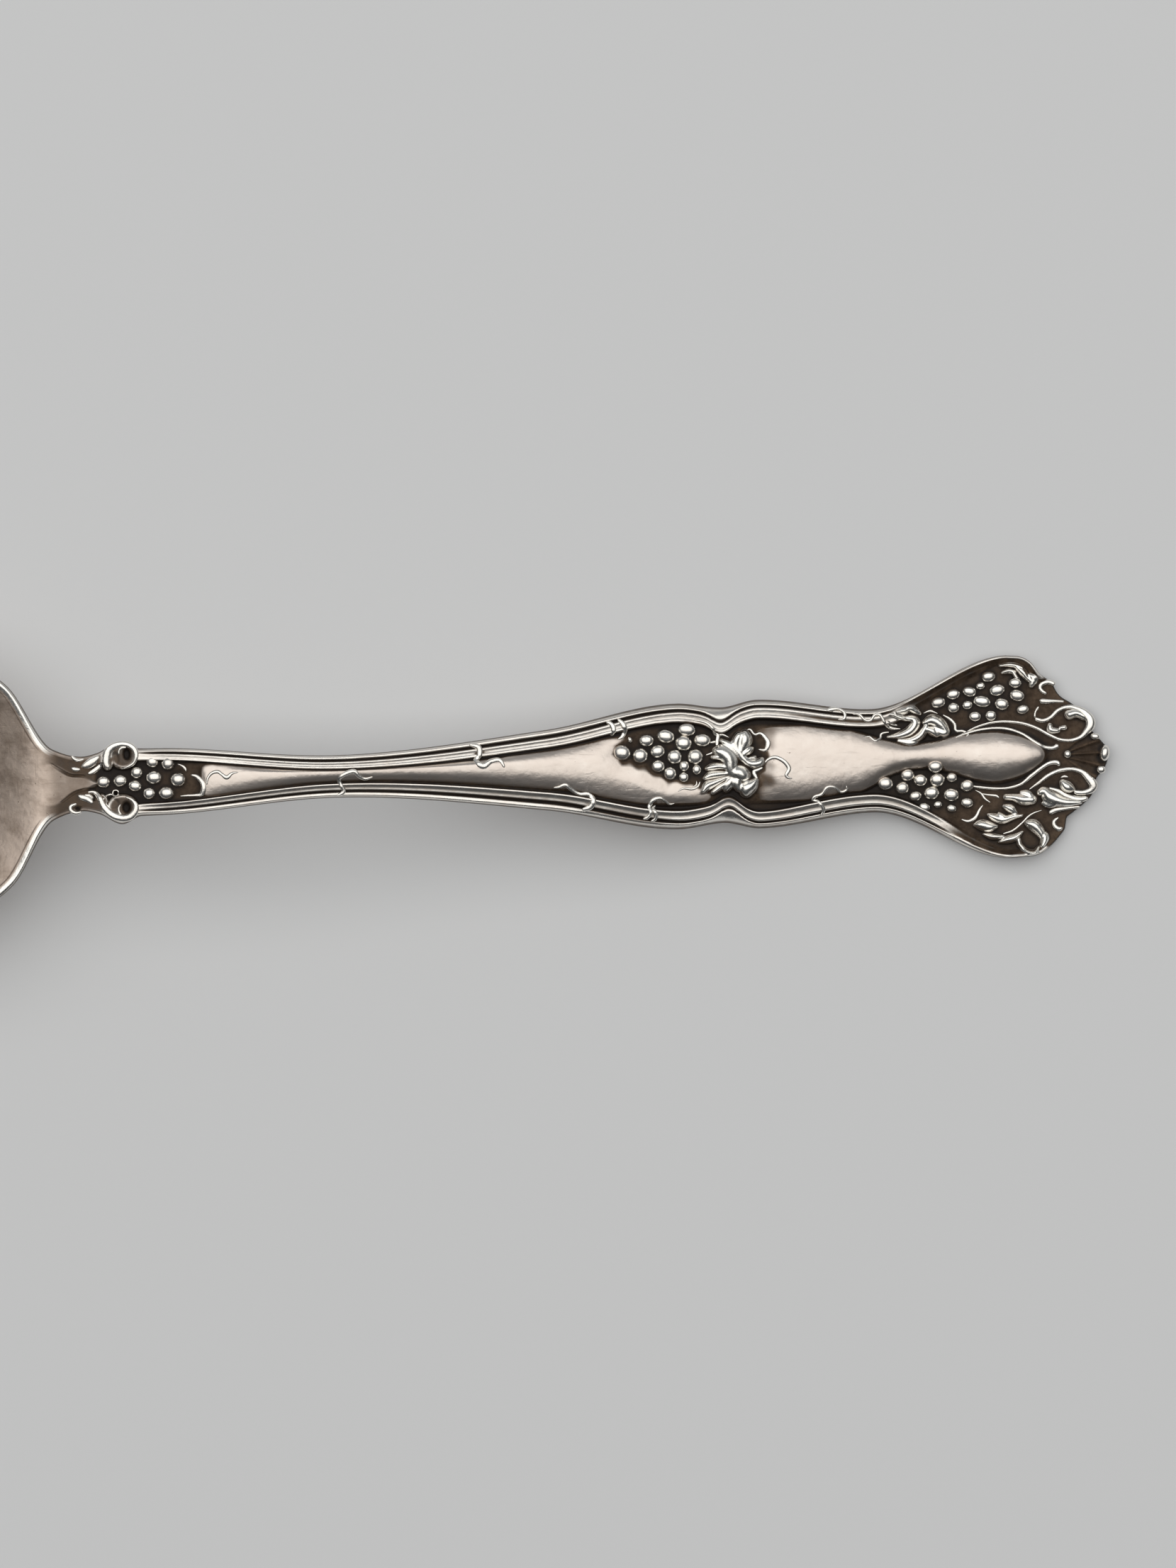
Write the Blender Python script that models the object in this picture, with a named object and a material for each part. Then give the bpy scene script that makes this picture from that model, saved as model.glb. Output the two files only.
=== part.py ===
"""A teaspoon with a struck grapevine handle, lying bowl up as on a table.

Units are metres, +Z is up and +X runs from the bowl to the handle's end. The origin is under the middle of
the spoon, on the table. Places on the handle are given as s, the distance from the neck along the spoon, and
t, the distance from its centre line.
"""

import bisect
import math

import bmesh
import bpy
from mathutils import Matrix, Vector

# The bowl
BOWL_LENGTH = 0.0500
BOWL_WIDTH = 0.0310
BOWL_DEPTH = 0.0079
BOWL_WALL = 0.0012
BOWL_RIM = 0.0009
BOWL_TIP_DROP = 0.0011
BOWL_REST = 0.00025
SHOULDERS_FROM_NECK = 0.0032
SHOULDER_FLARE = 0.00072
EGG = 0.12

# Steps along the handle, from the neck to its end
NECK_TO_VOLUTE = 0.0037
VOLUTE_TO_COLLAR = 0.0035
COLLAR_TO_STEM = 0.0178
STEM_TO_TAPER = 0.0210
TAPER_TO_SHOULDER = 0.0130
SHOULDER_TO_WAIST = 0.0042
WAIST_TO_PANEL = 0.0038
PANEL_TO_THROAT = 0.0113
THROAT_TO_CORNER = 0.0137
CORNER_TO_END = 0.0100

# Widths of the handle at those places
NECK_WIDTH = 0.0054
VOLUTE_WIDTH = 0.0074
COLLAR_WIDTH = 0.0066
STEM_WIDTH = 0.0042
TAPER_WIDTH = 0.0080
SHOULDER_WIDTH = 0.0125
WAIST_WIDTH = 0.0115
PANEL_WIDTH = 0.0128
THROAT_WIDTH = 0.0103
CORNER_WIDTH = 0.0202

# Thickness of the metal and height of the arch
NECK_THICKNESS = 0.0030
STEM_THICKNESS = 0.0030
PANEL_THICKNESS = 0.0024
END_THICKNESS = 0.0019
NECK_HEIGHT = 0.0077
ARCH_HEIGHT = 0.0094
REST_LENGTH = 0.0100
BACK_ROUND = 0.0019

# Relief of the struck face
RIM_WIDTH = 0.0024
STEM_RIM_WIDTH = 0.0011
GROOVE_DEPTH = 0.00025
GROUND_DEPTH = 0.00050
DOME_RISE = 0.00085
DROP_NECK_WIDTH = 0.0030
DROP_WIDTH = 0.0046
DROP_LENGTH = 0.0130
GRAPE_RADIUS = 0.00073
GRAPE_PITCH = 0.00152
LOBE_WIDTH = 0.00130
SCROLL_WIRE = 0.00034
VOLUTE_WIRE = 0.00046
LINE_WIRE = 0.00022
SHELL_LENGTH = 0.0040
SMALL_LEAF = 0.0031
BIG_LEAF = 0.0054
ORNAMENT_STANDING = 0.00030
TIP_INSET = 0.0004
ROW_STEP = 0.00150
VOLUTE_RADIUS = 0.00125
END_SCROLL_RADIUS = 0.00155
EDGE_CURL_RADIUS = 0.00062
DROP_MARGIN = 0.00070
TENDRIL_LENGTH = 0.0030
TENDRIL_WAVE = 0.00050

SILVER = (0.62, 0.58, 0.52, 1.0)

# Places along the handle, from the sizes above
VOLUTE_AT = NECK_TO_VOLUTE
COLLAR_AT = VOLUTE_AT + VOLUTE_TO_COLLAR
STEM_AT = COLLAR_AT + COLLAR_TO_STEM
TAPER_AT = STEM_AT + STEM_TO_TAPER
SHOULDER_AT = TAPER_AT + TAPER_TO_SHOULDER
WAIST_AT = SHOULDER_AT + SHOULDER_TO_WAIST
PANEL_AT = WAIST_AT + WAIST_TO_PANEL
THROAT_AT = PANEL_AT + PANEL_TO_THROAT
CORNER_AT = THROAT_AT + THROAT_TO_CORNER
HANDLE_LENGTH = CORNER_AT + CORNER_TO_END
DROP_END_AT = CORNER_AT + 0.34 * CORNER_TO_END
DROP_WIDEST_AT = DROP_END_AT - 0.45 * DROP_LENGTH
DROP_NECK_AT = DROP_END_AT - DROP_LENGTH
NECK_X = (BOWL_LENGTH - HANDLE_LENGTH) / 2
REST_FROM = CORNER_AT + 0.2 * CORNER_TO_END - REST_LENGTH / 2


def smooth_through(*points):
    """A function of one number: a curve through the points that never overshoots between them."""
    places = [p for p, _ in points]
    values = [v for _, v in points]
    gaps = [b - a for a, b in zip(places, places[1:])]
    rises = [(b - a) / gap for a, b, gap in zip(values, values[1:], gaps)]
    slopes = [0.0]
    for before, after in zip(rises, rises[1:]):
        slopes.append(2 * before * after / (before + after) if before * after > 0 else 0.0)
    slopes.append(0.0)

    def value(place):
        i = min(max(bisect.bisect_right(places, place) - 1, 0), len(gaps) - 1)
        u = min(max((place - places[i]) / gaps[i], 0.0), 1.0)
        ease = u * u * (3 - 2 * u)
        lean = gaps[i] * (slopes[i] * u * (1 - u) ** 2 - slopes[i + 1] * u * u * (1 - u))
        return values[i] * (1 - ease) + values[i + 1] * ease + lean

    return value


def round_over(share):
    """Height of a rounded edge, 0 at the edge and 1 where the round ends."""
    inside = 1 - min(max(share, 0.0), 1.0)
    return math.sqrt(1 - inside * inside)


def swell(share):
    """A smooth step from 0 to 1."""
    u = min(max(share, 0.0), 1.0)
    return u * u * (3 - 2 * u)


half_width = smooth_through(
    (0, NECK_WIDTH / 2),
    (VOLUTE_AT, VOLUTE_WIDTH / 2),
    (COLLAR_AT, COLLAR_WIDTH / 2),
    (STEM_AT, STEM_WIDTH / 2),
    (TAPER_AT, TAPER_WIDTH / 2),
    (SHOULDER_AT, SHOULDER_WIDTH / 2),
    (WAIST_AT, WAIST_WIDTH / 2),
    (PANEL_AT, PANEL_WIDTH / 2),
    (THROAT_AT, THROAT_WIDTH / 2),
    (CORNER_AT, CORNER_WIDTH / 2),
)
thickness = smooth_through(
    (0, NECK_THICKNESS),
    (STEM_AT, STEM_THICKNESS),
    (PANEL_AT, PANEL_THICKNESS),
    (CORNER_AT, END_THICKNESS),
)
back_height = smooth_through(
    (0, NECK_HEIGHT),
    (0.55 * STEM_AT, ARCH_HEIGHT),
    (0.5 * (TAPER_AT + SHOULDER_AT), 0.52 * ARCH_HEIGHT),
    (THROAT_AT, 0.13 * ARCH_HEIGHT),
    (REST_FROM, 0),
    (HANDLE_LENGTH, 0),
)
rim_width = smooth_through(
    (0, STEM_RIM_WIDTH),
    (STEM_AT, STEM_RIM_WIDTH),
    (SHOULDER_AT, RIM_WIDTH),
    (THROAT_AT, RIM_WIDTH),
    (CORNER_AT, 0.5 * RIM_WIDTH),
)
rim_strength = smooth_through(
    (0, 0),
    (COLLAR_AT, 1),
    (THROAT_AT, 1),
    (0.6 * THROAT_AT + 0.4 * CORNER_AT, 0),
)
ground_depth = smooth_through(
    (0, 0),
    (VOLUTE_AT, GROUND_DEPTH),
    (STEM_AT, 0.3 * GROUND_DEPTH),
    (SHOULDER_AT, GROUND_DEPTH),
    (HANDLE_LENGTH, GROUND_DEPTH),
)
drop_half_width = smooth_through(
    (THROAT_AT, THROAT_WIDTH / 2),
    (DROP_NECK_AT, DROP_NECK_WIDTH / 2),
    (DROP_WIDEST_AT, DROP_WIDTH / 2),
    (DROP_END_AT, 0.1 * DROP_WIDTH),
)
dome_rise = smooth_through(
    (COLLAR_AT, 0),
    (STEM_AT, 0.6 * DOME_RISE),
    (SHOULDER_AT, DOME_RISE),
    (DROP_NECK_AT, DOME_RISE),
    (DROP_WIDEST_AT, 1.25 * DOME_RISE),
    (DROP_END_AT, 0.15 * DOME_RISE),
    (DROP_END_AT + 0.1 * DROP_LENGTH, 0),
)

# Where the rim's edge, crest, groove and band lie, as shares of its width
EDGE_ROUND = 0.30
GROOVE_AT = 0.48
GROOVE_HALF = 0.09
BAND_INSIDE = 0.94
RIM_INSIDE = 1.12


def dome_half_width(s):
    """Half the width of the raised middle between the rims, which narrows to the drop at the handle's end."""
    return min(half_width(s) - RIM_INSIDE * rim_width(s), drop_half_width(s))


def face_above_back(s, t, edge):
    """Height of the struck face over the back, at the given distance from the handle's edge."""
    thick = thickness(s)
    share = edge / rim_width(s)
    height = thick / 2 + thick / 2 * round_over(share / EDGE_ROUND)
    groove = max(0.0, 1 - abs(share - GROOVE_AT) / GROOVE_HALF)
    height -= GROOVE_DEPTH * rim_strength(s) * groove
    sunk = swell((share - BAND_INSIDE) / (RIM_INSIDE - BAND_INSIDE))
    height -= ground_depth(s) * sunk
    across = min(abs(t) / max(dome_half_width(s), 1e-6), 1.0)
    return height + dome_rise(s) * (1 - across * across) * sunk


def front_height(s, t):
    """Height of the struck face above the table."""
    return back_height(s) + face_above_back(s, t, max(half_width(s) - abs(t), 0.0))


def on_handle(s, t, z):
    return Vector((NECK_X + s, t, z))


def end_reach(t):
    """How far the handle's end stands past its corners, at a distance from the centre line."""
    share = min(abs(t) / (CORNER_WIDTH / 2), 1.0)
    return (CORNER_TO_END - TIP_INSET) * (1 - share**1.15) ** 0.65


def loft(name, rings):
    """A solid through closed rings of equally many points, with its two ends filled."""
    bm = bmesh.new()
    layers = [[bm.verts.new(point) for point in ring] for ring in rings]
    for here, there in zip(layers, layers[1:]):
        for i in range(len(here)):
            j = (i + 1) % len(here)
            bm.faces.new((here[i], here[j], there[j], there[i]))
    bm.faces.new(layers[0])
    bm.faces.new(layers[-1])
    bmesh.ops.remove_doubles(bm, verts=bm.verts, dist=1e-7)
    bmesh.ops.dissolve_degenerate(bm, edges=bm.edges, dist=1e-7)
    bmesh.ops.triangulate(bm, faces=bm.faces)
    bmesh.ops.recalc_face_normals(bm, faces=bm.faces)
    return mesh_object(name, bm)


def mesh_object(name, bm):
    mesh = bpy.data.meshes.new(name)
    bm.to_mesh(mesh)
    bm.free()
    mesh.shade_smooth()
    return bpy.data.objects.new(name, mesh)


# The handle's blank, with its rims, sunk ground and raised middle

RIM_SHARES = (0.0, 0.04, 0.14, EDGE_ROUND, 0.39, GROOVE_AT, 0.57, BAND_INSIDE, RIM_INSIDE)
MIDDLE_SHARES = (0.78, 0.56, 0.38, 0.24, 0.12, 0.0)
BACK_SHARES = (0.92, 0.65, 0.0, -0.65, -0.92)
STEPS = (
    (0, VOLUTE_AT, 4),
    (VOLUTE_AT, COLLAR_AT, 4),
    (COLLAR_AT, STEM_AT, 5),
    (STEM_AT, TAPER_AT, 5),
    (TAPER_AT, SHOULDER_AT, 5),
    (SHOULDER_AT, WAIST_AT, 4),
    (WAIST_AT, PANEL_AT, 4),
    (PANEL_AT, THROAT_AT, 4),
    (THROAT_AT, CORNER_AT, 13),
)


def handle_stations():
    places = [a + (b - a) * i / n for a, b, n in STEPS for i in range(n)]
    return places + [CORNER_AT]


def handle_ring(station):
    """One ring of the handle: the struck face from its right edge to its left, then the back."""
    half = half_width(station)
    fan = max(0.0, (station - THROAT_AT) / THROAT_TO_CORNER) ** 2
    blunt = swell((fan - 0.9) / 0.1)
    inside = half - RIM_INSIDE * rim_width(station)
    edges = [share * rim_width(station) for share in RIM_SHARES]
    edges += [half - share * inside for share in MIDDLE_SHARES]
    face = [(-(half - edge), edge) for edge in edges]
    face += [(half - edge, edge) for edge in reversed(edges[:-1])]
    ring = []
    for t, edge in face:
        s = station + fan * end_reach(t * CORNER_WIDTH / 2 / half)
        height = face_above_back(s, t, edge) - blunt * 0.2 * thickness(s)
        ring.append(on_handle(s, t, back_height(s) + height))
    for share in BACK_SHARES:
        t = share * half
        s = station + fan * end_reach(t * CORNER_WIDTH / 2 / half)
        lift = thickness(s) / 2 * (1 - round_over((half - abs(t)) / BACK_ROUND))
        ring.append(on_handle(s, t, back_height(s) + max(lift, blunt * 0.2 * thickness(s))))
    return ring


# The bowl

EGG_HALF = (BOWL_LENGTH - SHOULDERS_FROM_NECK) / 2
EGG_MIDDLE = SHOULDERS_FROM_NECK + EGG_HALF
FRONT_AT_NECK = NECK_HEIGHT + NECK_THICKNESS
HALF_ACROSS = (0.20, 0.40, 0.57, 0.72, 0.84, 0.93, 0.985, 1)
ACROSS = [-share for share in reversed(HALF_ACROSS)] + [0, *HALF_ACROSS]

rim_height = smooth_through(
    (0, FRONT_AT_NECK),
    (EGG_MIDDLE, BOWL_DEPTH + BOWL_WALL - BOWL_REST),
    (BOWL_LENGTH, BOWL_DEPTH + BOWL_WALL - BOWL_REST - BOWL_TIP_DROP),
)
hollowing = smooth_through((0.3 * SHOULDERS_FROM_NECK, 0), (3.0 * SHOULDERS_FROM_NECK, 1))


def egg_half_width(p):
    """Half the width of the bowl's egg outline at p from the neck, 0 outside it."""
    c = min(max((EGG_MIDDLE - p) / EGG_HALF, -1.0), 1.0)
    return BOWL_WIDTH / 2 * math.sqrt(1 - c * c) * (1 + EGG * c)


SHOULDER_SHARE = 2.2
shoulders = smooth_through(
    (0, NECK_WIDTH / 2),
    (0.9 * SHOULDERS_FROM_NECK, NECK_WIDTH / 2 + SHOULDER_FLARE),
    (SHOULDER_SHARE * SHOULDERS_FROM_NECK, egg_half_width(SHOULDER_SHARE * SHOULDERS_FROM_NECK)),
    (2.8 * SHOULDERS_FROM_NECK, egg_half_width(2.8 * SHOULDERS_FROM_NECK)),
)


def bowl_half_width(p):
    """The egg, joined to the neck by flared shoulders."""
    return shoulders(p) if p < SHOULDER_SHARE * SHOULDERS_FROM_NECK else egg_half_width(p)


def bowl_depth(p):
    """Depth of the hollow on the centre line, below the rim."""
    q = (p - EGG_MIDDLE) / EGG_HALF
    if q <= -1:
        return 0.0
    power = 1.5 if q < 0 else 0.95
    return BOWL_DEPTH * max(1 - q * q, 0.0) ** power


def bowl_ring(p):
    """One ring of the bowl: the hollow side from right to left, then the underside."""
    half = bowl_half_width(p)
    depth = bowl_depth(p)
    top = rim_height(p)
    hollow = hollowing(p)
    past_middle = max(0.0, (p - EGG_MIDDLE) / EGG_HALF)
    inset = BOWL_RIM * past_middle**2
    rim_share = 1 - hollow * 2 * BOWL_RIM / BOWL_WIDTH
    wall = NECK_THICKNESS + (BOWL_WALL - NECK_THICKNESS) * hollow
    edge_drop = 0.3 * (1 - hollow) * NECK_THICKNESS
    ring = []
    for v in ACROSS:
        bow = 1 - abs(v) ** 2.1
        z = top - depth * bow - edge_drop * abs(v) ** 12
        ring.append(Vector((NECK_X - p + inset, v * half * rim_share, z)))
    for v in reversed(ACROSS):
        bow = 1 - abs(v) ** 2.1
        under_bowl = top - depth * bow - wall * (0.45 + 0.55 * (1 - v**4))
        lift = NECK_THICKNESS / 2 * (1 - round_over((1 - abs(v)) * half / BACK_ROUND))
        under_neck = top - NECK_THICKNESS + lift
        z = under_neck + (under_bowl - under_neck) * hollow
        ring.append(Vector((NECK_X - p, v * half, max(z, 0.0))))
    return ring


def bowl_stations():
    neck = [SHOULDERS_FROM_NECK * share for share in (0, 0.3, 0.6, 0.85, 1.05, 1.25, 1.5, 1.8, 2.2)]
    start = math.acos(1 - (2.7 * SHOULDERS_FROM_NECK - SHOULDERS_FROM_NECK) / EGG_HALF)
    turns = 17
    angles = [start + (math.pi - start) * i / turns for i in range(turns + 1)]
    return neck + [EGG_MIDDLE - EGG_HALF * math.cos(angle) for angle in angles]


# Ornament of the struck face, each piece a small solid sunk into the metal

LOBE_SIDES = 8
LOBE_RINGS = 4
TENDRIL_POINTS = 10


def on_face(s, t, lift=0.0):
    """A point on the struck face, kept on its flat side of the rounded edge."""
    most = half_width(s) - EDGE_ROUND * rim_width(s)
    height = front_height(s, max(-most, min(most, t)))
    return on_handle(s, t, height + lift)


def bunch(name, s, t, rows, lean):
    """Grapes in rows from the bunch's tip to its stalk, each row shifted sideways by the lean."""
    bm = bmesh.new()
    for row, count in enumerate(rows):
        for i in range(count):
            aside = (i - (count - 1) / 2) * GRAPE_PITCH + row * lean
            place = on_face(s + row * ROW_STEP - 0.25 * lean * i, t + aside, ORNAMENT_STANDING)
            seat = Matrix.Translation(place)
            bmesh.ops.create_icosphere(bm, subdivisions=2, radius=GRAPE_RADIUS, matrix=seat)
    return mesh_object(name, bm)


def lobe(name, s, t, heading, length, width):
    """One rounded lobe that starts at s and t and points along the heading."""
    turn = math.radians(heading)
    middle = on_face(s + 0.5 * length * math.cos(turn), t + 0.5 * length * math.sin(turn), 0.0)
    bm = bmesh.new()
    bmesh.ops.create_uvsphere(bm, u_segments=LOBE_SIDES, v_segments=LOBE_RINGS, radius=0.5)
    bmesh.ops.scale(bm, vec=(length, width, 1.1 * width), verts=bm.verts)
    bmesh.ops.rotate(bm, matrix=Matrix.Rotation(turn, 3, "Z"), verts=bm.verts)
    bmesh.ops.translate(bm, vec=middle, verts=bm.verts)
    return mesh_object(name, bm)


def wire(name, path, radius, roundness=1):
    """A raised line along places on the face, full in the middle and thin at its ends."""
    curve = bpy.data.curves.new(name, "CURVE")
    curve.dimensions = "3D"
    curve.bevel_depth = radius
    curve.bevel_resolution = roundness
    curve.use_fill_caps = True
    spline = curve.splines.new("POLY")
    spline.points.add(len(path) - 1)
    for i, (s, t) in enumerate(path):
        spline.points[i].co = (*on_face(s, t, 0.3 * radius), 1.0)
        spline.points[i].radius = 0.55 + 0.45 * math.sin(math.pi * i / (len(path) - 1)) ** 0.5
    guide = bpy.data.objects.new(name, curve)
    bpy.context.scene.collection.objects.link(guide)
    seen = guide.evaluated_get(bpy.context.evaluated_depsgraph_get())
    bm = bmesh.new()
    bm.from_mesh(bpy.data.meshes.new_from_object(seen))
    bmesh.ops.remove_doubles(bm, verts=bm.verts, dist=1e-6)
    bmesh.ops.recalc_face_normals(bm, faces=bm.faces)
    bpy.data.objects.remove(guide)
    return mesh_object(name, bm)


def spiral(s, t, start, end, outer, inner, count):
    """Places on a spiral about s and t, between two angles in degrees."""
    places = []
    for i in range(count):
        u = i / (count - 1)
        turn = math.radians(start + (end - start) * u)
        radius = outer + (inner - outer) * u
        places.append((s + radius * math.cos(turn), t + radius * math.sin(turn)))
    return places


def mirrored(path):
    return [(s, -t) for s, t in path]


def volute_path():
    """The neck's scroll: a tail along the tongue, then round to its eye."""
    s = VOLUTE_AT
    t = VOLUTE_WIDTH / 2 - VOLUTE_RADIUS
    tail = [(s * share, NECK_WIDTH / 2 * (0.62 + 0.20 * share)) for share in (0.12, 0.3, 0.48)]
    return tail + spiral(s, t, 190, -170, VOLUTE_RADIUS, 0.42 * VOLUTE_RADIUS, 14)


def drop_line():
    """The fine line that follows the drop's edge."""
    start = DROP_WIDEST_AT - 0.10 * DROP_LENGTH
    steps = 8
    places = [start + (DROP_END_AT + 0.05 * DROP_LENGTH - start) * i / (steps - 1) for i in range(steps)]
    return [(s, drop_half_width(s) + DROP_MARGIN) for s in places]


def end_scroll_path():
    """The end's scroll: a line along the drop that sweeps out and curls towards the corner."""
    s = CORNER_AT + 0.61 * CORNER_TO_END
    t = 0.32 * CORNER_WIDTH / 2
    start = DROP_WIDEST_AT
    low = s - 0.2 * END_SCROLL_RADIUS
    line = []
    for i in range(6):
        u = i / 6
        swing = 0.5 + 0.5 * math.cos(math.pi * u)
        aside = t - END_SCROLL_RADIUS + swing * (t - 0.1 * END_SCROLL_RADIUS)
        line.append((start + (low - start) * u, aside))
    return line + spiral(s, t, -98, 200, END_SCROLL_RADIUS, 0.55 * END_SCROLL_RADIUS, 12)


def edge_curl_path():
    """The small curl at the end's edge, between the corner and the large scroll."""
    s = CORNER_AT + 0.36 * CORNER_TO_END
    t = 0.70 * CORNER_WIDTH / 2
    return spiral(s, t, 200, -120, EDGE_CURL_RADIUS, 0.5 * EDGE_CURL_RADIUS, 10)


def tendril(s, t, heading):
    """A little wavy stalk that crosses the rim."""
    turn = math.radians(heading)
    places = []
    for i in range(TENDRIL_POINTS):
        u = i / (TENDRIL_POINTS - 1)
        along = TENDRIL_LENGTH * u
        aside = TENDRIL_WAVE * math.sin(2.6 * math.pi * u)
        places.append(
            (
                s + along * math.cos(turn) - aside * math.sin(turn),
                t + along * math.sin(turn) + aside * math.cos(turn),
            )
        )
    return places


def bunches():
    corner = CORNER_WIDTH / 2
    shoulder = SHOULDER_WIDTH / 2
    plan = (
        ("neck_bunch", 0.5 * VOLUTE_AT, 0, (1, 1, 2, 3, 2), 0),
        ("middle_bunch", SHOULDER_AT - 4.0 * ROW_STEP, 0.28 * shoulder, (1, 2, 3, 4, 3), -0.10),
        ("upper_bunch", CORNER_AT - 4.6 * ROW_STEP, 0.57 * corner, (1, 2, 3, 3, 3, 2), 0.08),
        ("lower_bunch", THROAT_AT + 0.9 * ROW_STEP, -0.23 * corner, (1, 2, 3, 3, 2), -0.17),
    )
    return [bunch(name, s, t, rows, lean * GRAPE_PITCH) for name, s, t, rows, lean in plan]


def leaves():
    """Vine leaves as fans of lobes, with the shell at the handle's end. Lobes are in leaf lengths."""
    waist = WAIST_WIDTH / 2
    corner = CORNER_WIDTH / 2
    shell_at = HANDLE_LENGTH - SHELL_LENGTH
    wide = 1.2 * LOBE_WIDTH
    plan = (
        ("waist_leaf", WAIST_AT + 0.4 * SMALL_LEAF, -0.20 * waist, 190, 140, SMALL_LEAF, LOBE_WIDTH),
        ("panel_leaf", WAIST_AT + 0.2 * SMALL_LEAF, 0.20 * waist, 25, 130, 0.9 * SMALL_LEAF, LOBE_WIDTH),
        ("throat_leaf", THROAT_AT + 0.3 * BIG_LEAF, 0.25 * corner, 24, 74, 0.95 * BIG_LEAF, wide),
        ("corner_leaf", CORNER_AT - 0.4 * BIG_LEAF, -0.60 * corner, -8, 116, BIG_LEAF, 1.1 * wide),
        ("edge_leaf", CORNER_AT - 0.2 * BIG_LEAF, 0.90 * corner, -22, 45, 0.6 * BIG_LEAF, LOBE_WIDTH),
        ("shell", shell_at, 0, 0, 124, SHELL_LENGTH, wide),
    )
    counts = {"edge_leaf": 2, "throat_leaf": 4, "panel_leaf": 4}
    lobes = []
    for name, s, t, heading, spread, length, width in plan:
        count = counts.get(name, 5)
        for i in range(count):
            aside = i / (count - 1) - 0.5
            reach = length * (1 - 0.8 * aside * aside)
            lobes.append(lobe(f"{name}_{i}", s, t, heading + spread * aside, reach, width))
    return lobes


def stalks():
    """Where each tendril starts: its place, its share of the half width there, and its heading."""
    return (
        (COLLAR_AT + 1.3 * TENDRIL_LENGTH, -0.45, 50),
        (STEM_AT + 0.2 * TENDRIL_LENGTH, -0.85, 40),
        (TAPER_AT - 2.5 * TENDRIL_LENGTH, 0.80, -35),
        (TAPER_AT + 0.3 * TENDRIL_LENGTH, -0.42, -40),
        (TAPER_AT + 2.1 * TENDRIL_LENGTH, 0.93, -75),
        (SHOULDER_AT - 1.3 * TENDRIL_LENGTH, -0.85, 35),
        (PANEL_AT + 2.0 * TENDRIL_LENGTH, -0.85, 48),
        (THROAT_AT - 0.9 * TENDRIL_LENGTH, 0.90, -35),
    )


def ornament():
    pieces = bunches() + leaves()
    for side, turn in (("upper", list), ("lower", mirrored)):
        pieces.append(wire(f"{side}_volute", turn(volute_path()), VOLUTE_WIRE))
        pieces.append(wire(f"{side}_drop_line", turn(drop_line()), LINE_WIRE, 0))
        pieces.append(wire(f"{side}_end_scroll", turn(end_scroll_path()), SCROLL_WIRE))
        pieces.append(wire(f"{side}_edge_curl", turn(edge_curl_path()), SCROLL_WIRE, 0))
    for i, (s, share, heading) in enumerate(stalks()):
        pieces.append(wire(f"tendril_{i}", tendril(s, share * half_width(s), heading), LINE_WIRE, 0))
    return pieces


def silver_material():
    material = bpy.data.materials.new("silver_plate")
    material.use_nodes = True
    shader = material.node_tree.nodes["Principled BSDF"]
    shader.inputs["Base Color"].default_value = SILVER
    shader.inputs["Metallic"].default_value = 1.0
    shader.inputs["Roughness"].default_value = 0.28
    return material


def main():
    for old in list(bpy.data.objects):
        bpy.data.objects.remove(old)
    spoon = bpy.data.collections.new("teaspoon")
    bpy.context.scene.collection.children.link(spoon)
    silver = silver_material()
    handle = loft("handle", [handle_ring(station) for station in handle_stations()])
    bowl = loft("bowl", [bowl_ring(p) for p in bowl_stations()])
    relief = bpy.data.collections.new("relief")
    bpy.context.scene.collection.children.link(relief)
    relief.hide_render = True
    for piece in ornament():
        piece.hide_render = True
        piece.display_type = "WIRE"
        relief.objects.link(piece)
    struck = handle.modifiers.new("struck relief", "BOOLEAN")
    struck.operation = "UNION"
    struck.solver = "EXACT"
    struck.operand_type = "COLLECTION"
    struck.collection = relief
    for piece in (bowl, handle):
        piece.data.materials.append(silver)
        piece.data.set_sharp_from_angle(angle=math.radians(35))
        spoon.objects.link(piece)


main()
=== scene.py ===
# %% [markdown]
# # A silver-plated teaspoon with a grapevine handle
#
# The spoon is one piece of metal, struck between two dies. So the lesson builds it in the same order:
# first the blank with its bowl, arch and reeded rims, then the relief that stands on it, and last the
# tarnish that years of polishing have left in the hollows.
#
# Places on the spoon are written in millimetres as `s`, the distance from the neck towards the handle's
# end, and `t`, the distance from the centre line. The bowl has negative `s`.

import math

import bmesh
import bpy
import numpy as np
from mathutils import Matrix, Vector
from mathutils.kdtree import KDTree


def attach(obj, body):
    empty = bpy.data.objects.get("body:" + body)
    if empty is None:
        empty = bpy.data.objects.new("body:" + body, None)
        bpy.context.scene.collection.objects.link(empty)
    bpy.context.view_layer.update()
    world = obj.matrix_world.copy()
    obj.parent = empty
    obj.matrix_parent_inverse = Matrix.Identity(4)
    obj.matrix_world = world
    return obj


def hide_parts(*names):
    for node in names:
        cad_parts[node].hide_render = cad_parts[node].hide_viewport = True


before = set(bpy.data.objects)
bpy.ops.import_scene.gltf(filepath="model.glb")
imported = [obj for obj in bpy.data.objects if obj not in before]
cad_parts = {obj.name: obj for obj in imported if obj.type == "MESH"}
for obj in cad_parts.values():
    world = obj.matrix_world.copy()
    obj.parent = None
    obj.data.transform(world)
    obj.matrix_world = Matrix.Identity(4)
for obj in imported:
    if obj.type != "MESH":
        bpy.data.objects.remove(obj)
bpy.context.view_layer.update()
MM = 0.001

# %% [markdown]
# ## Curves through a few sizes
#
# Every width, thickness and height along the spoon is a smooth curve through a handful of known sizes. A
# spline would do too, but it swings past its points. This curve never overshoots between them, so a waist
# stays a waist.


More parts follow.
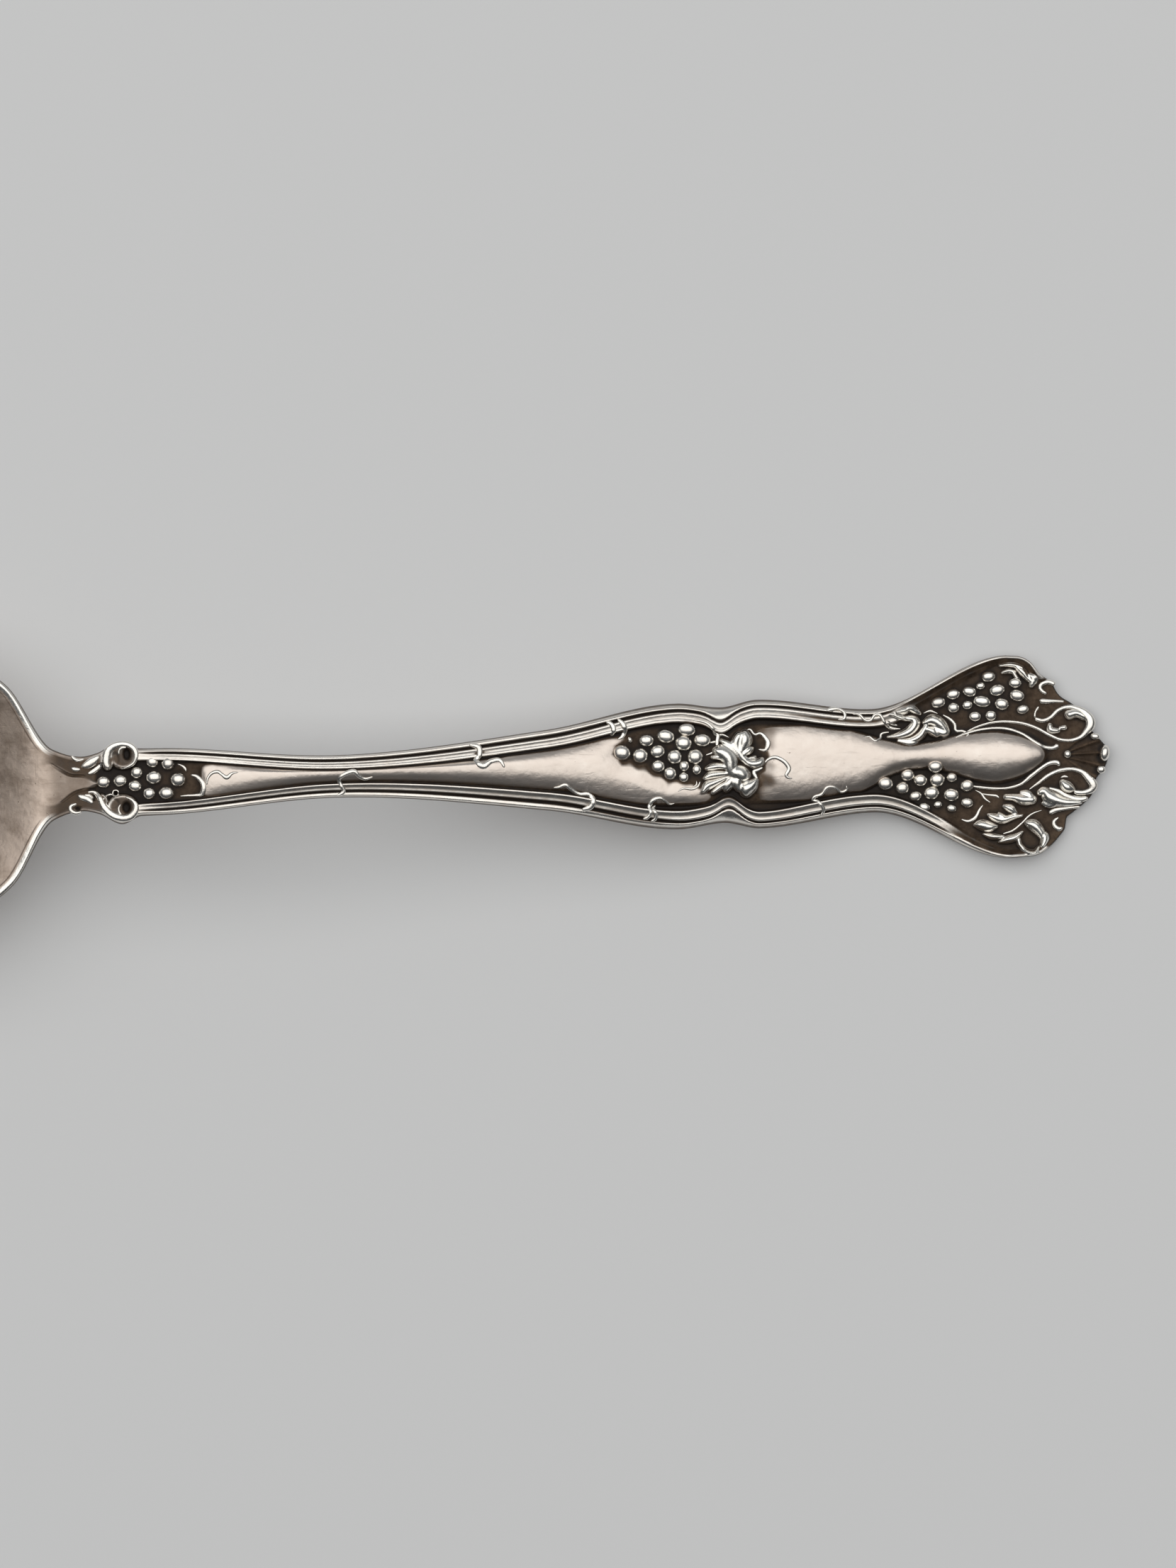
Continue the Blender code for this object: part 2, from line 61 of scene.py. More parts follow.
# %% A curve that never overshoots
def smooth_through(*points):
    place, value = np.array(points, float).T
    gap = np.diff(place)
    rise = np.diff(value) / gap
    slope = np.zeros_like(value)
    same = rise[:-1] * rise[1:] > 0
    slope[1:-1][same] = 2 * (rise[:-1] * rise[1:])[same] / (rise[:-1] + rise[1:])[same]

    def curve(x):
        x = np.asarray(x, float)
        i = np.clip(np.searchsorted(place, x, side="right") - 1, 0, len(gap) - 1)
        u = np.clip((x - place[i]) / gap[i], 0, 1)
        ease = u * u * (3 - 2 * u)
        lean = gap[i] * (slope[i] * u * (1 - u) ** 2 - slope[i + 1] * u * u * (1 - u))
        return value[i] * (1 - ease) + value[i + 1] * ease + lean

    return curve


def swell(x):
    u = np.clip(x, 0, 1)
    return u * u * (3 - 2 * u)


def round_over(x):
    return np.sqrt(1 - (1 - np.clip(x, 0, 1)) ** 2)


def bump(x):
    return np.exp(-(x**2))


def hump(s, height, middle, reach):
    return height * bump((s - middle) / reach)


print("a swell, a quarter of the way along:", round(float(swell(0.25)), 3))

# %% [markdown]
# ## Places read from the photo
#
# The relief is free drawing: no rule gives the place of a leaf or a tendril. A program could trace it,
# but places listed one by one are fewer and give cleaner curves. So each table of ornaments below holds the
# pixels that were read in one enlarged window of the photo, and the window turns them into millimetres on
# the spoon. A window's left and top edge are pixels of the whole photo. The camera stands straight above,
# so a place that stands higher looks a little further from the middle of the picture.

# %% Windows of the photo
PHOTO_HEIGHT, PIXELS_PER_MM = 2212, 14.2
NECK_PIXEL = (120, 1105.91)
SPOON_SLOPE = 0.0295
ROLL = math.atan(SPOON_SLOPE)
CAMERA_S, CAMERA_T = 50.0, -1.48
CAMERA_HEIGHT, SHARP_HEIGHT = 1000.0, 5.0
HEIGHT_PLACES = (-8, 0, 14, 25, 52, 78, 92, 102)
HEIGHTS = (10, 10.7, 12.4, 11.8, 7.6, 3.4, 2.0, 2.0)
END_SHIFT, SHIFT_FROM, SHIFT_OVER = 0.2, 80, 8


class Window:
    """An enlarged window of the photo, given by its left and top edge in the photo."""

    def __init__(self, left, top, enlarged):
        self.left, self.top, self.enlarged = left, top, enlarged

    def place(self, x, y):
        """The place on the spoon that is seen at a pixel of the window."""
        right = (self.left + x / self.enlarged - NECK_PIXEL[0]) / PIXELS_PER_MM
        up = (NECK_PIXEL[1] - self.top - y / self.enlarged) / PIXELS_PER_MM
        s = right * math.cos(ROLL) + up * math.sin(ROLL)
        t = up * math.cos(ROLL) - right * math.sin(ROLL)
        height = np.interp(s, HEIGHT_PLACES, HEIGHTS)
        shrink = (CAMERA_HEIGHT - height) / (CAMERA_HEIGHT - SHARP_HEIGHT)
        s = CAMERA_S + (s - CAMERA_S) * shrink
        t = CAMERA_T + (t - CAMERA_T) * shrink - END_SHIFT * swell((s - SHIFT_FROM) / SHIFT_OVER)
        return round(float(s), 2), round(float(t), 2)

    def size(self, pixels):
        return round(pixels / (self.enlarged * PIXELS_PER_MM), 2)

    def ovals(self, *rows):
        """Ovals, each read as its middle, half length and half width."""
        return [(*self.place(x, y), self.size(long), self.size(wide)) for x, y, long, wide in rows]

    def paths(self, *rows, fuller=1):
        """Paths, each read as a few places with a half width."""
        return [[(*self.place(x, y), self.size(round(fuller * half))) for x, y, half in row] for row in rows]


neck_view = Window(0, 960, 5.2267)
near_stem_view = Window(180, 1040, 7.127)
stem_view = Window(400, 950, 2.8)
middle_view = Window(800, 930, 3.136)
waist_view = Window(840, 970, 5.6)
throat_view = Window(1040, 960, 4.3556)
fan_view = Window(1180, 880, 3.5636)
corner_view = Window(1230, 1040, 5.6)
tip_view = Window(1380, 900, 4.7515)
print("the window of the waist starts at", waist_view.place(0, 0), "mm")

# %% [markdown]
# ## The blank
#
# These are the spoon's sizes: its bowl, its outline, the thickness of the metal and the arch that lifts
# the neck off the table while the bowl and the handle's wide end lie on it. The outline of the wide end
# is lobed, so it is a curve of its own: how far the end reaches past the corners, from one side to the
# other.

# %% Sizes of the blank
BOWL_LENGTH, BOWL_WIDTH, BOWL_DEPTH, BOWL_WALL, BOWL_RIM = 50.0, 31.0, 7.9, 1.2, 0.9
EGG_START, EGG = 3.2, 0.12
HANDLE_LENGTH, THROAT, CORNER, CORNER_HALF = 102.0, 78.3, 92.0, 10.1
NECK_X = (BOWL_LENGTH - HANDLE_LENGTH) / 2
NECK_HALF, NECK_THICK, NECK_HEIGHT, ARCH = 2.7, 3.0, 7.7, 9.4
NECK_TOP = NECK_HEIGHT + NECK_THICK

half_width = smooth_through(
    (0, NECK_HALF), (1.5, 3.0), (3.9, 4.1), (5.8, 3.35), (8.4, 3.3), (25, 2.1), (46, 4.0), (59, 6.25),
    (63.4, 5.75), (67, 6.4), (THROAT, 5.15), (CORNER, CORNER_HALF),
)
thickness = smooth_through((0, NECK_THICK), (25, 3.0), (67, 2.4), (CORNER, 1.9))
back_height = smooth_through(
    (0, NECK_HEIGHT), (13.75, ARCH), (52.5, 0.52 * ARCH), (THROAT, 0.13 * ARCH), (89, 0), (HANDLE_LENGTH, 0)
)
end_reach = smooth_through(
    (-CORNER_HALF, 0), (-10.0, 1.9), (-9.8, 2.8), (-9, 3.98), (-7.99, 4.95), (-7.29, 5.44), (-6.26, 5.65),
    (-5.68, 6.36), (-4.8, 7.5), (-4.07, 8.2), (-3.34, 8.5), (-2.49, 8.7), (-1.73, 9.3), (-0.89, 9.8),
    (0, HANDLE_LENGTH - CORNER), (0.5, 9.9), (1.24, 9.4), (2.28, 8.5), (3.06, 8.2), (3.79, 7.9), (4.58, 7.2),
    (5.27, 6.3), (5.82, 5.45), (6.35, 5.0), (6.85, 4.76), (7.37, 4.46), (7.8, 3.84), (8.14, 3.39),
    (8.72, 2.97), (9.33, 2.5), (9.76, 1.9), (10.0, 1.2), (CORNER_HALF, 0),
)
print("handle", HANDLE_LENGTH, "mm long and", 2 * CORNER_HALF, "mm wide")

# %% The bowl's outline
EGG_HALF = (BOWL_LENGTH - EGG_START) / 2
EGG_MIDDLE = EGG_START + EGG_HALF
WIDEST = 24.0
SHOULDER_END = 7.04
SHOULDER_SWELL = (0.42, 6.6, 2.9)


def egg_half_width(p):
    c = np.clip((EGG_MIDDLE - p) / EGG_HALF, -1, 1)
    return BOWL_WIDTH / 2 * np.sqrt(1 - c * c) * (1 + EGG * c)


shoulders = smooth_through(
    (0, NECK_HALF), (2.88, 3.42), *((p, egg_half_width(p)) for p in (SHOULDER_END, SHOULDER_END + 1.92))
)


def bowl_half_width(p):
    return np.where(p < SHOULDER_END, shoulders(p), egg_half_width(p)) + hump(p, *SHOULDER_SWELL)


tip_p = np.linspace(WIDEST, BOWL_LENGTH, 4000)
tip_w = egg_half_width(tip_p)
WIDEST_HALF = float(tip_w[0])


def bowl_reach(t):
    """How far the bowl runs past its widest place, at a distance from the centre line."""
    return np.interp(-np.minimum(np.abs(t), WIDEST_HALF), -tip_w, tip_p) - WIDEST


print("bowl", round(2 * WIDEST_HALF, 1), "mm wide")

# %% [markdown]
# ## Relief of the blank itself
#
# A rim runs down both sides. It has a rounded outside, a groove, and a hollowed band with a thread at
# each edge. At the waist its lines swing inwards, sharper than the outline. Inside the rim the ground is
# sunk, and a smooth raised middle swells out of it. At the wide end that middle narrows to a throat and
# ends in a drop. All of this could be modelled edge by edge, but as heights above the table it follows
# every change of the outline by itself.

# %% Lines of the handle's face
rim_width = smooth_through(
    (0, 1.05), (8, 1.15), (25, 1.3), (46, 1.7), (59, 1.78), (THROAT, 1.7), (84, 1.45), (CORNER, 1.0)
)
upper_band = smooth_through((4, 0), (9, 1), (78.5, 1), (82, 0))
lower_band = smooth_through((4, 0), (9, 1), (83, 1), (87.5, 0))
upper_flare = smooth_through((78.5, 0), (83.5, 1))
lower_flare = smooth_through((83, 0), (88, 1))
ground_depth = smooth_through(
    (0, 0), (2.5, 0.55), (9, 0.5), (14, 0.3), (25, 0.22), (46, 0.35), (55, 0.5), (78, 0.5), (85, 0.55),
    (HANDLE_LENGTH, 0.6),
)
dome_rise = smooth_through(
    (9, 0), (11.5, 0), (12.5, 0.30), (17, 0.52), (25, 0.68), (46, 0.85), (59, 0.95), (80, 0.95), (84, 0.9),
    (90, 1.25), (93.5, 1.1), (95.2, 0.6), (96.1, 0),
)
drop_upper = smooth_through(
    (73, 4.0), (78, 2.8), (80, 2.15), (82.5, 1.8), (84.1, 1.9), (87, 2.55), (90.5, 2.8), (92.5, 2.5),
    (94, 1.95), (95.2, 1.25), (96.1, 0.4),
)
drop_lower = smooth_through(
    (74, 4.0), (77, 3.3), (78.8, 2.5), (80.75, 1.5), (83.4, 1.1), (86.5, 1.75), (88.5, 2.4), (90.5, 2.75),
    (92.4, 2.45), (94, 1.8), (95.2, 1.0), (96.1, 0.3),
)
roll_share = smooth_through((4, 0.36), (12, 0.20), (46, 0.20), (57, 0.35), (80, 0.35))
tongue_half = smooth_through((-3, 2.2), (-1, 1.25), (0.3, 0.75), (1.4, 0.35), (2.2, 0))
crest_shift = smooth_through((12, 0), (18, 0.42), (40, 0.55), (56, 0))
lower_lip = smooth_through((83, 0.45), (86.5, 0.42), (90.5, 0.18), (95, 0.17))
upper_groove = smooth_through((56, 0.42), (66, 0.375))
lower_groove = smooth_through((55, 0.47), (62, 0.385))
groove_half = smooth_through((55, 0.075), (64, 0.06))
lean_reach = smooth_through((46, 0.5), (57, 1.6))
dome_shape = smooth_through((50, 2.2), (58, 2.9), (74, 2.9), (82, 2.0))
print("rim", rim_width(25), "mm wide on the stem and", rim_width(59), "mm at the waist")

# %% Beds of the ornament
POCKET_PIXELS = (
    (270, 335), (215, 380), (205, 420), (250, 462), (330, 485), (390, 520), (450, 552), (520, 556),
    (590, 575), (640, 625), (720, 650), (800, 650), (845, 615), (862, 560), (868, 505), (895, 440),
    (890, 360), (850, 295), (700, 330), (640, 300), (560, 268), (450, 280), (300, 322),
)
POCKET = [middle_view.place(x, y) for x, y in POCKET_PIXELS]
VOLUTE_DISCS = neck_view.ovals(
    (912, 550, 112, 105), (905, 930, 118, 92), (796, 600, 44, 66), (752, 895, 50, 62),
)


def spot(s, t, where):
    """Distance from the middle of an oval, as a share of its half length and half width."""
    return np.hypot((s - where[0]) / where[2], (t - where[1]) / where[3])


def discs(s, t, size):
    """1 on the two volutes' raised ground and 0 away from it."""
    return np.max([swell((size - spot(s, t, disc)) / 0.3) for disc in VOLUTE_DISCS], axis=0)


def depth_inside(polygon, s, t):
    """Distance from a polygon's edge, positive inside it."""
    corners = np.array(polygon)
    near = np.full(s.shape, np.inf)
    inside = np.zeros(s.shape, bool)
    for (as_, at), (bs, bt) in zip(corners, np.roll(corners, -1, axis=0)):
        along = ((s - as_) * (bs - as_) + (t - at) * (bt - at)) / ((bs - as_) ** 2 + (bt - at) ** 2)
        along = np.clip(along, 0, 1)
        near = np.minimum(near, np.hypot(s - as_ - along * (bs - as_), t - at - along * (bt - at)))
        if bt != at:
            inside ^= ((at > t) != (bt > t)) & (s < (bs - as_) * (t - at) / (bt - at) + as_)
    return np.where(inside, near, -near)


print("bed of the waist's bunch with", len(POCKET), "corners")

# %% How the rim's lines run
UPPER_SWING, LOWER_SWING = (0.72, 63.35, 1.2), (0.88, 64.0, 1.35)
LOWER_NARROWING = (0.2, 66, 5)
TONGUE_END = 2.2
TIP_START, TIP_RISE = 94.6, 1.8


def swing(s, t):
    """How far the rim's lines swing inwards at the waist."""
    return np.where(t > 0, hump(s, *UPPER_SWING), hump(s, *LOWER_SWING))


def rim_at(s, t):
    """Width of the rim, which is a little narrower on the lower side by the waist."""
    return rim_width(s) - np.where(t > 0, 0, hump(s, *LOWER_NARROWING))


def rim_line_at(s, t, d):
    """Place across the rim, 0 at the edge and 1 at its inner line, and how strongly its lines are cut."""
    x = (d - swing(s, t)) / rim_at(s, t)
    return x, np.where(t > 0, upper_band(s), lower_band(s))


def groove(s, t, d):
    x, band = rim_line_at(s, t, d)
    return band * bump((x - np.where(t > 0, upper_groove(s), lower_groove(s))) / groove_half(s))


def opening(s, t):
    """1 where the rim has opened out into the plain lip of the wide end."""
    return np.where(t > 0, upper_flare(s), lower_flare(s))


def at_tip(s):
    """1 at the very end, where the shell takes the rim's place."""
    return swell((s - TIP_START) / TIP_RISE)


def tongue(s, t):
    """Where the bowl's metal runs on as a tongue between the neck's leaves."""
    return swell((tongue_half(s) - np.abs(t)) / 0.35) * swell((TONGUE_END - s) / 0.8)


print("lines swing", UPPER_SWING[0], "and", LOWER_SWING[0], "mm inwards at the waist")

# %% Cuts of the rim
UPPER_LEAN, LOWER_LEAN = 0.10, 0.33
CUT_SHARE, CUT_MOST = 0.19, 0.32
HOLLOW_SHARE, HOLLOW_AT, HOLLOW_HALF = 0.34, 0.76, 0.13
THREAD, OUTER_AT, OUTER_HALF, INNER_AT, INNER_HALF = 0.03, 0.62, 0.055, 0.94, 0.05
UPPER_THREAD_FROM, LOWER_THREAD_FROM = 14, 54


def rim_cuts(s, t, d, deep):
    """How much the band's lean, the groove and the hollow take off the rim, less its two threads."""
    rim, upper = rim_at(s, t), t > 0
    x, band = rim_line_at(s, t, d)
    leaning = np.clip(rim + swing(s, t) - d, 0, np.where(upper, np.inf, lean_reach(s) * rim))
    cut = np.minimum(CUT_SHARE * rim, CUT_MOST) * deep
    hollow = HOLLOW_SHARE * cut * bump((x - HOLLOW_AT) / HOLLOW_HALF)
    outer_at = OUTER_AT - 0.07 * swell((s - 50) / 10)
    thread_from = np.where(upper, UPPER_THREAD_FROM, LOWER_THREAD_FROM)
    outer_thread = swell((s - thread_from) / 7) * bump((x - outer_at) / OUTER_HALF)
    inner_thread = swell((s - UPPER_THREAD_FROM) / 6) * bump((x - INNER_AT) / INNER_HALF)
    lean = np.where(upper, UPPER_LEAN, LOWER_LEAN) * leaning
    return cut * groove(s, t, d) + band * (lean + hollow - THREAD * (outer_thread + inner_thread))


print("groove up to", CUT_MOST, "mm deep and threads", THREAD, "mm high")

# %% Heights of the handle's face
EDGE_SHARE, BACK_ROUND = 0.47, 1.9
UPPER_LIP, LIP_BEAD, BEAD_HALF = 0.17, 0.05, 0.12
UPPER_SLOPE, LOWER_SLOPE, GROUND_SLOPE = 1.2, 1.3, 0.17
POCKET_DEPTH, POCKET_SLOPE = 0.75, 3.4


def wear(s, t):
    """The slight unevenness of worn metal."""
    slow = np.sin(1.9 * s + 1.1 * t) * np.sin(2.3 * t - 0.7 * s)
    quick = np.sin(4.7 * s - 2.1 * t + 1) * np.sin(5.2 * t + 1.4 * s)
    return 0.005 * slow + 0.003 * quick


def raised_middle(s, t):
    """Height of the smooth middle above the ground, low where the waist's bunch lies."""
    edge = half_width(s) - 1.12 * rim_at(s, t) - swing(s, t)
    high, low = np.minimum(edge, drop_upper(s)), np.minimum(edge, drop_lower(s))
    crest = (high - low) / 2 + crest_shift(s)
    half = np.maximum(np.where(t > crest, high - crest, low + crest), 1e-3)
    across = np.clip(np.abs(t - crest) / half, 0, 1)
    pocket = POCKET_DEPTH * swell(0.5 + depth_inside(POCKET, s, t) / POCKET_SLOPE)
    return dome_rise(s) * (1 - across ** dome_shape(s)) * (1 - pocket)


def face(s, t, d, deep=1.0):
    """Height of the struck face above the table, at distance d from the edge."""
    x = rim_line_at(s, t, d)[0]
    upper, opened, tip = t > 0, opening(s, t), at_tip(s)
    lip = np.where(upper, UPPER_LIP, lower_lip(s))
    outside = (roll_share(s) * rim_at(s, t) + swing(s, t)) * (1 - opened) + lip * opened
    rounded = 1 - EDGE_SHARE + EDGE_SHARE * round_over(d / outside)
    z = back_height(s) + thickness(s) * rounded + wear(s, t) - rim_cuts(s, t, d, deep)
    z = z + LIP_BEAD * opened * (1 - tip) * bump((d - outside) / BEAD_HALF)
    slope = np.where(upper, UPPER_SLOPE, LOWER_SLOPE) - 0.5 * swell((s - 89) / 3)
    sunk = swell((x - 1.0) / GROUND_SLOPE) * (1 - opened) + swell((d - outside) / slope) * opened
    sunk = sunk + (1 - sunk) * tip
    z = z - ground_depth(s) * sunk * (1 - np.maximum(tongue(s, t), discs(s, t, size=1.12)))
    return z + raised_middle(s, t) * sunk


def back(s, d):
    return back_height(s) + EDGE_SHARE * thickness(s) * (1 - round_over(d / BACK_ROUND))


on_panel = np.array([72.0])
print("panel", np.round(face(on_panel, 0 * on_panel, half_width(on_panel)), 2), "mm above the table")

# %% Heights of the bowl
HOLLOW_POWER = 2.1
rim_line = smooth_through((0, NECK_TOP), (EGG_MIDDLE, 8.85), (BOWL_LENGTH, 7.75))
hollowing = smooth_through((0.96, 0), (9.6, 1))


def bowl_depth(p):
    q = np.clip((p - EGG_MIDDLE) / EGG_HALF, -1, 1)
    return BOWL_DEPTH * (1 - q * q) ** np.where(q < 0, 1.5, 0.95)


def hollow_side(p, t, d):
    """Height of the bowl's hollow side: a rim band, then the hollow inside it."""
    hollow = hollowing(p)
    inner_p = EGG_MIDDLE + (p - EGG_MIDDLE) * np.where(p > EGG_MIDDLE, 1 + BOWL_RIM / EGG_HALF, 1)
    scale = 1 + hollow * 2 * BOWL_RIM / BOWL_WIDTH
    half = np.maximum(bowl_half_width(np.minimum(inner_p, BOWL_LENGTH - 0.01)), 1e-3)
    across = np.clip(np.abs(t) * scale / half, 0, 1)
    z = rim_line(p) - bowl_depth(inner_p) * (1 - across**HOLLOW_POWER)
    edge = EDGE_SHARE * NECK_THICK + (0.30 - EDGE_SHARE * NECK_THICK) * hollow
    return z - edge * (1 - round_over(d / 0.4))


def under_side(p, t, d):
    hollow = hollowing(p)
    across = np.clip(np.abs(t) / np.maximum(bowl_half_width(p), 1e-3), 0, 1)
    wall = NECK_THICK + (BOWL_WALL - NECK_THICK) * hollow
    bowl = rim_line(p) - bowl_depth(p) * (1 - across**HOLLOW_POWER) - wall * (0.45 + 0.55 * (1 - across**4))
    neck = rim_line(p) - NECK_THICK + EDGE_SHARE * NECK_THICK * (1 - round_over(d / BACK_ROUND))
    return np.maximum(neck + (bowl - neck) * hollow, 0)


print("neck", NECK_TOP, "mm above the table")

# %% [markdown]
# ## One grid for the whole blank
#
# The blank is laid out as one grid of places. Its rows run across the spoon and bulge towards the bowl's
# tip at one end and towards the handle's end at the other. Its outer columns swing with the rim's lines,
# so that no thread runs across a row of faces. A subdivided block could be carved instead, but the fine
# lines would need far more faces.

# %% Rows and columns of the grid
CUP_ROWS, FAN_ROWS = 84, 236
RIM_COLUMNS, MIDDLE_COLUMNS = 26, 78
BOWL_BAND, PAST_RIM = 1.05, 1.25
WAIST_START = 50

cup_on = 1 - (1 - np.linspace(1, 0.1645, CUP_ROWS)) ** 1.6
bowl_rows = np.concatenate([-WIDEST * cup_on, np.arange(-5.9, 0.01, 0.12)])
BOWL_ROWS = len(bowl_rows)
fan_on = 1 - (1 - np.linspace(0, 1, FAN_ROWS)) ** 1.5
stem_rows = np.concatenate([np.arange(0.11, 13, 0.11), np.arange(13.1, WAIST_START, 0.42)])
straight = np.concatenate([stem_rows, np.arange(WAIST_START, THROAT - 0.05, 0.125)])
row_place = np.concatenate([bowl_rows, straight, THROAT + (CORNER - THROAT) * fan_on])
row_fan = np.concatenate([np.zeros(BOWL_ROWS + len(straight)), fan_on**2])
row_cup = np.concatenate([(bowl_rows / WIDEST) ** 2, np.zeros(len(straight) + FAN_ROWS)])
row_half = np.where(row_place < 0, bowl_half_width(-row_place), half_width(row_place))

rim_share = np.linspace(0, 1, RIM_COLUMNS + 1)[:-1] ** 1.2
middle_share = np.linspace(0, 1, MIDDLE_COLUMNS + 1)


def insets(side):
    """Distance of each column from the edge. The columns of the rim swing inwards with its lines."""
    on_handle = rim_at(row_place, side) + swing(row_place, side)
    rim = PAST_RIM * np.where(row_place < 0, BOWL_BAND, on_handle)
    middle = rim[:, None] + (row_half - rim)[:, None] * middle_share
    return np.concatenate([rim[:, None] * rim_share, middle], axis=1)


T = np.concatenate([insets(-1) - row_half[:, None], (row_half[:, None] - insets(1))[:, -2::-1]], axis=1)
S = (
    row_place[:, None]
    + row_fan[:, None] * end_reach(T * CORNER_HALF / row_half[:, None])
    - row_cup[:, None] * bowl_reach(T * WIDEST_HALF / row_half[:, None])
)
print("grid", S.shape)

# %% Distance of each place from the outline
OUTLINE_STEP = 0.03
outline_places = []
for side_s, side_t in ((S[0], T[0]), (S[-1], T[-1]), (S[:, 0], T[:, 0]), (S[:, -1], T[:, -1])):
    length = np.concatenate([[0], np.cumsum(np.hypot(np.diff(side_s), np.diff(side_t)))])
    every = np.linspace(0, length[-1], int(length[-1] / OUTLINE_STEP) + 2)
    outline_places += list(zip(np.interp(every, length, side_s), np.interp(every, length, side_t)))
outline = KDTree(len(outline_places))
for i, (s, t) in enumerate(outline_places):
    outline.insert((s, t, 0), i)
outline.balance()


def from_outline(s, t):
    return np.array([outline.find((a, b, 0))[2] for a, b in zip(s.ravel(), t.ravel())]).reshape(s.shape)


D = from_outline(S, T)
D[0] = D[-1] = 0
D[:, 0] = D[:, -1] = 0
print("outline", len(outline_places), "places")

# %% [markdown]
# ## Leaves and shell
#
# The vine leaves are struck into the blank. Each leaf is a handful of lobes, and each lobe follows a few
# places on the face, read with a half width each. Where lobes meet, the higher one counts, so they grow
# together into one leaf. Separate meshes would leave a sharp seam around every lobe, so the leaves are
# heights on the face, evened out once. The shell at the end is a fan of shallow flutes, and the neck has
# the eyes of its volutes sunk in it.

# %% Lobes of the waist's leaves
WAIST_FULLNESS = 1.18
WAIST_LEAVES = waist_view.paths(
    [(965, 500, 26), (1010, 510, 44), (1062, 560, 50), (1075, 640, 40), (1085, 690, 22)],
    [(930, 550, 12), (985, 552, 19), (1035, 578, 24), (1060, 620, 20)],
    [(888, 640, 14), (930, 628, 23), (1000, 622, 23), (1070, 650, 18)],
    [(868, 716, 12), (920, 692, 25), (1000, 682, 24), (1085, 676, 12)],
    [(858, 818, 14), (895, 772, 27), (960, 745, 24), (1085, 692, 10)],
    [(938, 826, 14), (985, 790, 20), (1040, 752, 18), (1085, 705, 10)],
    [(1040, 800, 20), (1062, 755, 30), (1092, 700, 14)],
    [(1092, 690, 24), (1130, 672, 46), (1168, 690, 46), (1180, 712, 30)],
    [(1128, 700, 24), (1124, 750, 32), (1130, 796, 20)],
    [(998, 418, 12), (1060, 452, 20), (1128, 500, 26), (1172, 556, 26), (1212, 596, 22)],
    [(1128, 496, 22), (1116, 436, 28), (1138, 380, 24)],
    [(1160, 494, 22), (1188, 420, 38), (1184, 362, 22)],
    [(1170, 530, 18), (1212, 500, 24), (1240, 480, 12)],
    [(1196, 590, 20), (1250, 602, 28), (1300, 592, 26), (1318, 566, 14)],
    [(1200, 566, 12), (1262, 550, 12)],
    [(1270, 735, 16), (1238, 770, 34), (1198, 800, 42), (1196, 850, 16)],
    fuller=WAIST_FULLNESS,
)
print("waist with", len(WAIST_LEAVES), "lobes")

# %% Lobes of the wide end's leaves
THROAT_LEAVES = throat_view.paths(
    [(930, 348, 8), (1000, 338, 20), (1064, 310, 28), (1100, 262, 26), (1082, 234, 20), (1022, 232, 12),
     (940, 204, 4)],
    [(985, 194, 8), (1035, 186, 17), (1066, 172, 10)],
    [(1050, 166, 8), (1090, 176, 18), (1126, 198, 10)],
    [(995, 366, 10), (1070, 366, 22), (1130, 334, 24), (1166, 276, 16)],
    [(1160, 252, 16), (1205, 236, 30), (1255, 262, 30), (1290, 305, 20)],
    [(1170, 290, 14), (1206, 304, 26), (1232, 330, 14)],
    [(1220, 285, 14), (1262, 312, 24), (1300, 318, 10)],
)
UPPER_LEAVES = tip_view.paths(
    [(150, 172, 8), (205, 166, 13), (258, 172, 15), (298, 186, 12)],
    [(262, 180, 14), (302, 214, 22), (338, 262, 15)],
    [(165, 218, 8), (208, 208, 15), (250, 214, 10)],
    [(244, 226, 11), (268, 262, 14)],
    [(352, 236, 12), (376, 266, 22), (360, 302, 14)],
    [(616, 500, 26), (664, 490, 24), (716, 512, 22)],
    [(486, 572, 14), (490, 602, 20), (538, 608, 14)],
    [(556, 590, 10), (584, 586, 14)],
    [(420, 1022, 18), (446, 1010, 22), (490, 1056, 40), (580, 1086, 30), (690, 1088, 12)],
    [(440, 1092, 10), (482, 1110, 14), (560, 1104, 8)],
    [(570, 955, 18), (600, 985, 32), (640, 1000, 14)],
)
LOWER_LEAVES = corner_view.paths(
    [(1066, 456, 20), (1130, 460, 24), (1200, 476, 36), (1272, 478, 30)],
    [(1188, 418, 12), (1236, 428, 22), (1272, 462, 18)],
    [(1050, 528, 12), (1098, 546, 26), (1142, 582, 12)],
    [(926, 596, 10), (972, 616, 26), (1040, 636, 26), (1120, 614, 18), (1192, 604, 8)],
    [(1008, 580, 6), (1026, 606, 20), (1066, 618, 12)],
    [(818, 678, 10), (874, 676, 34), (930, 692, 34), (992, 690, 10)],
    [(890, 752, 8), (958, 768, 21), (1042, 772, 12)],
    [(1012, 812, 8), (1076, 792, 25), (1136, 776, 24), (1194, 732, 8)],
    [(1165, 790, 14), (1176, 836, 17), (1226, 880, 17), (1288, 894, 20), (1318, 852, 10)],
    [(1238, 664, 22), (1288, 682, 38), (1336, 734, 30), (1350, 770, 20)],
    [(1370, 750, 18), (1372, 780, 28), (1352, 834, 18)],
)
print("wide end with", len(THROAT_LEAVES) + len(UPPER_LEAVES) + len(LOWER_LEAVES), "lobes")

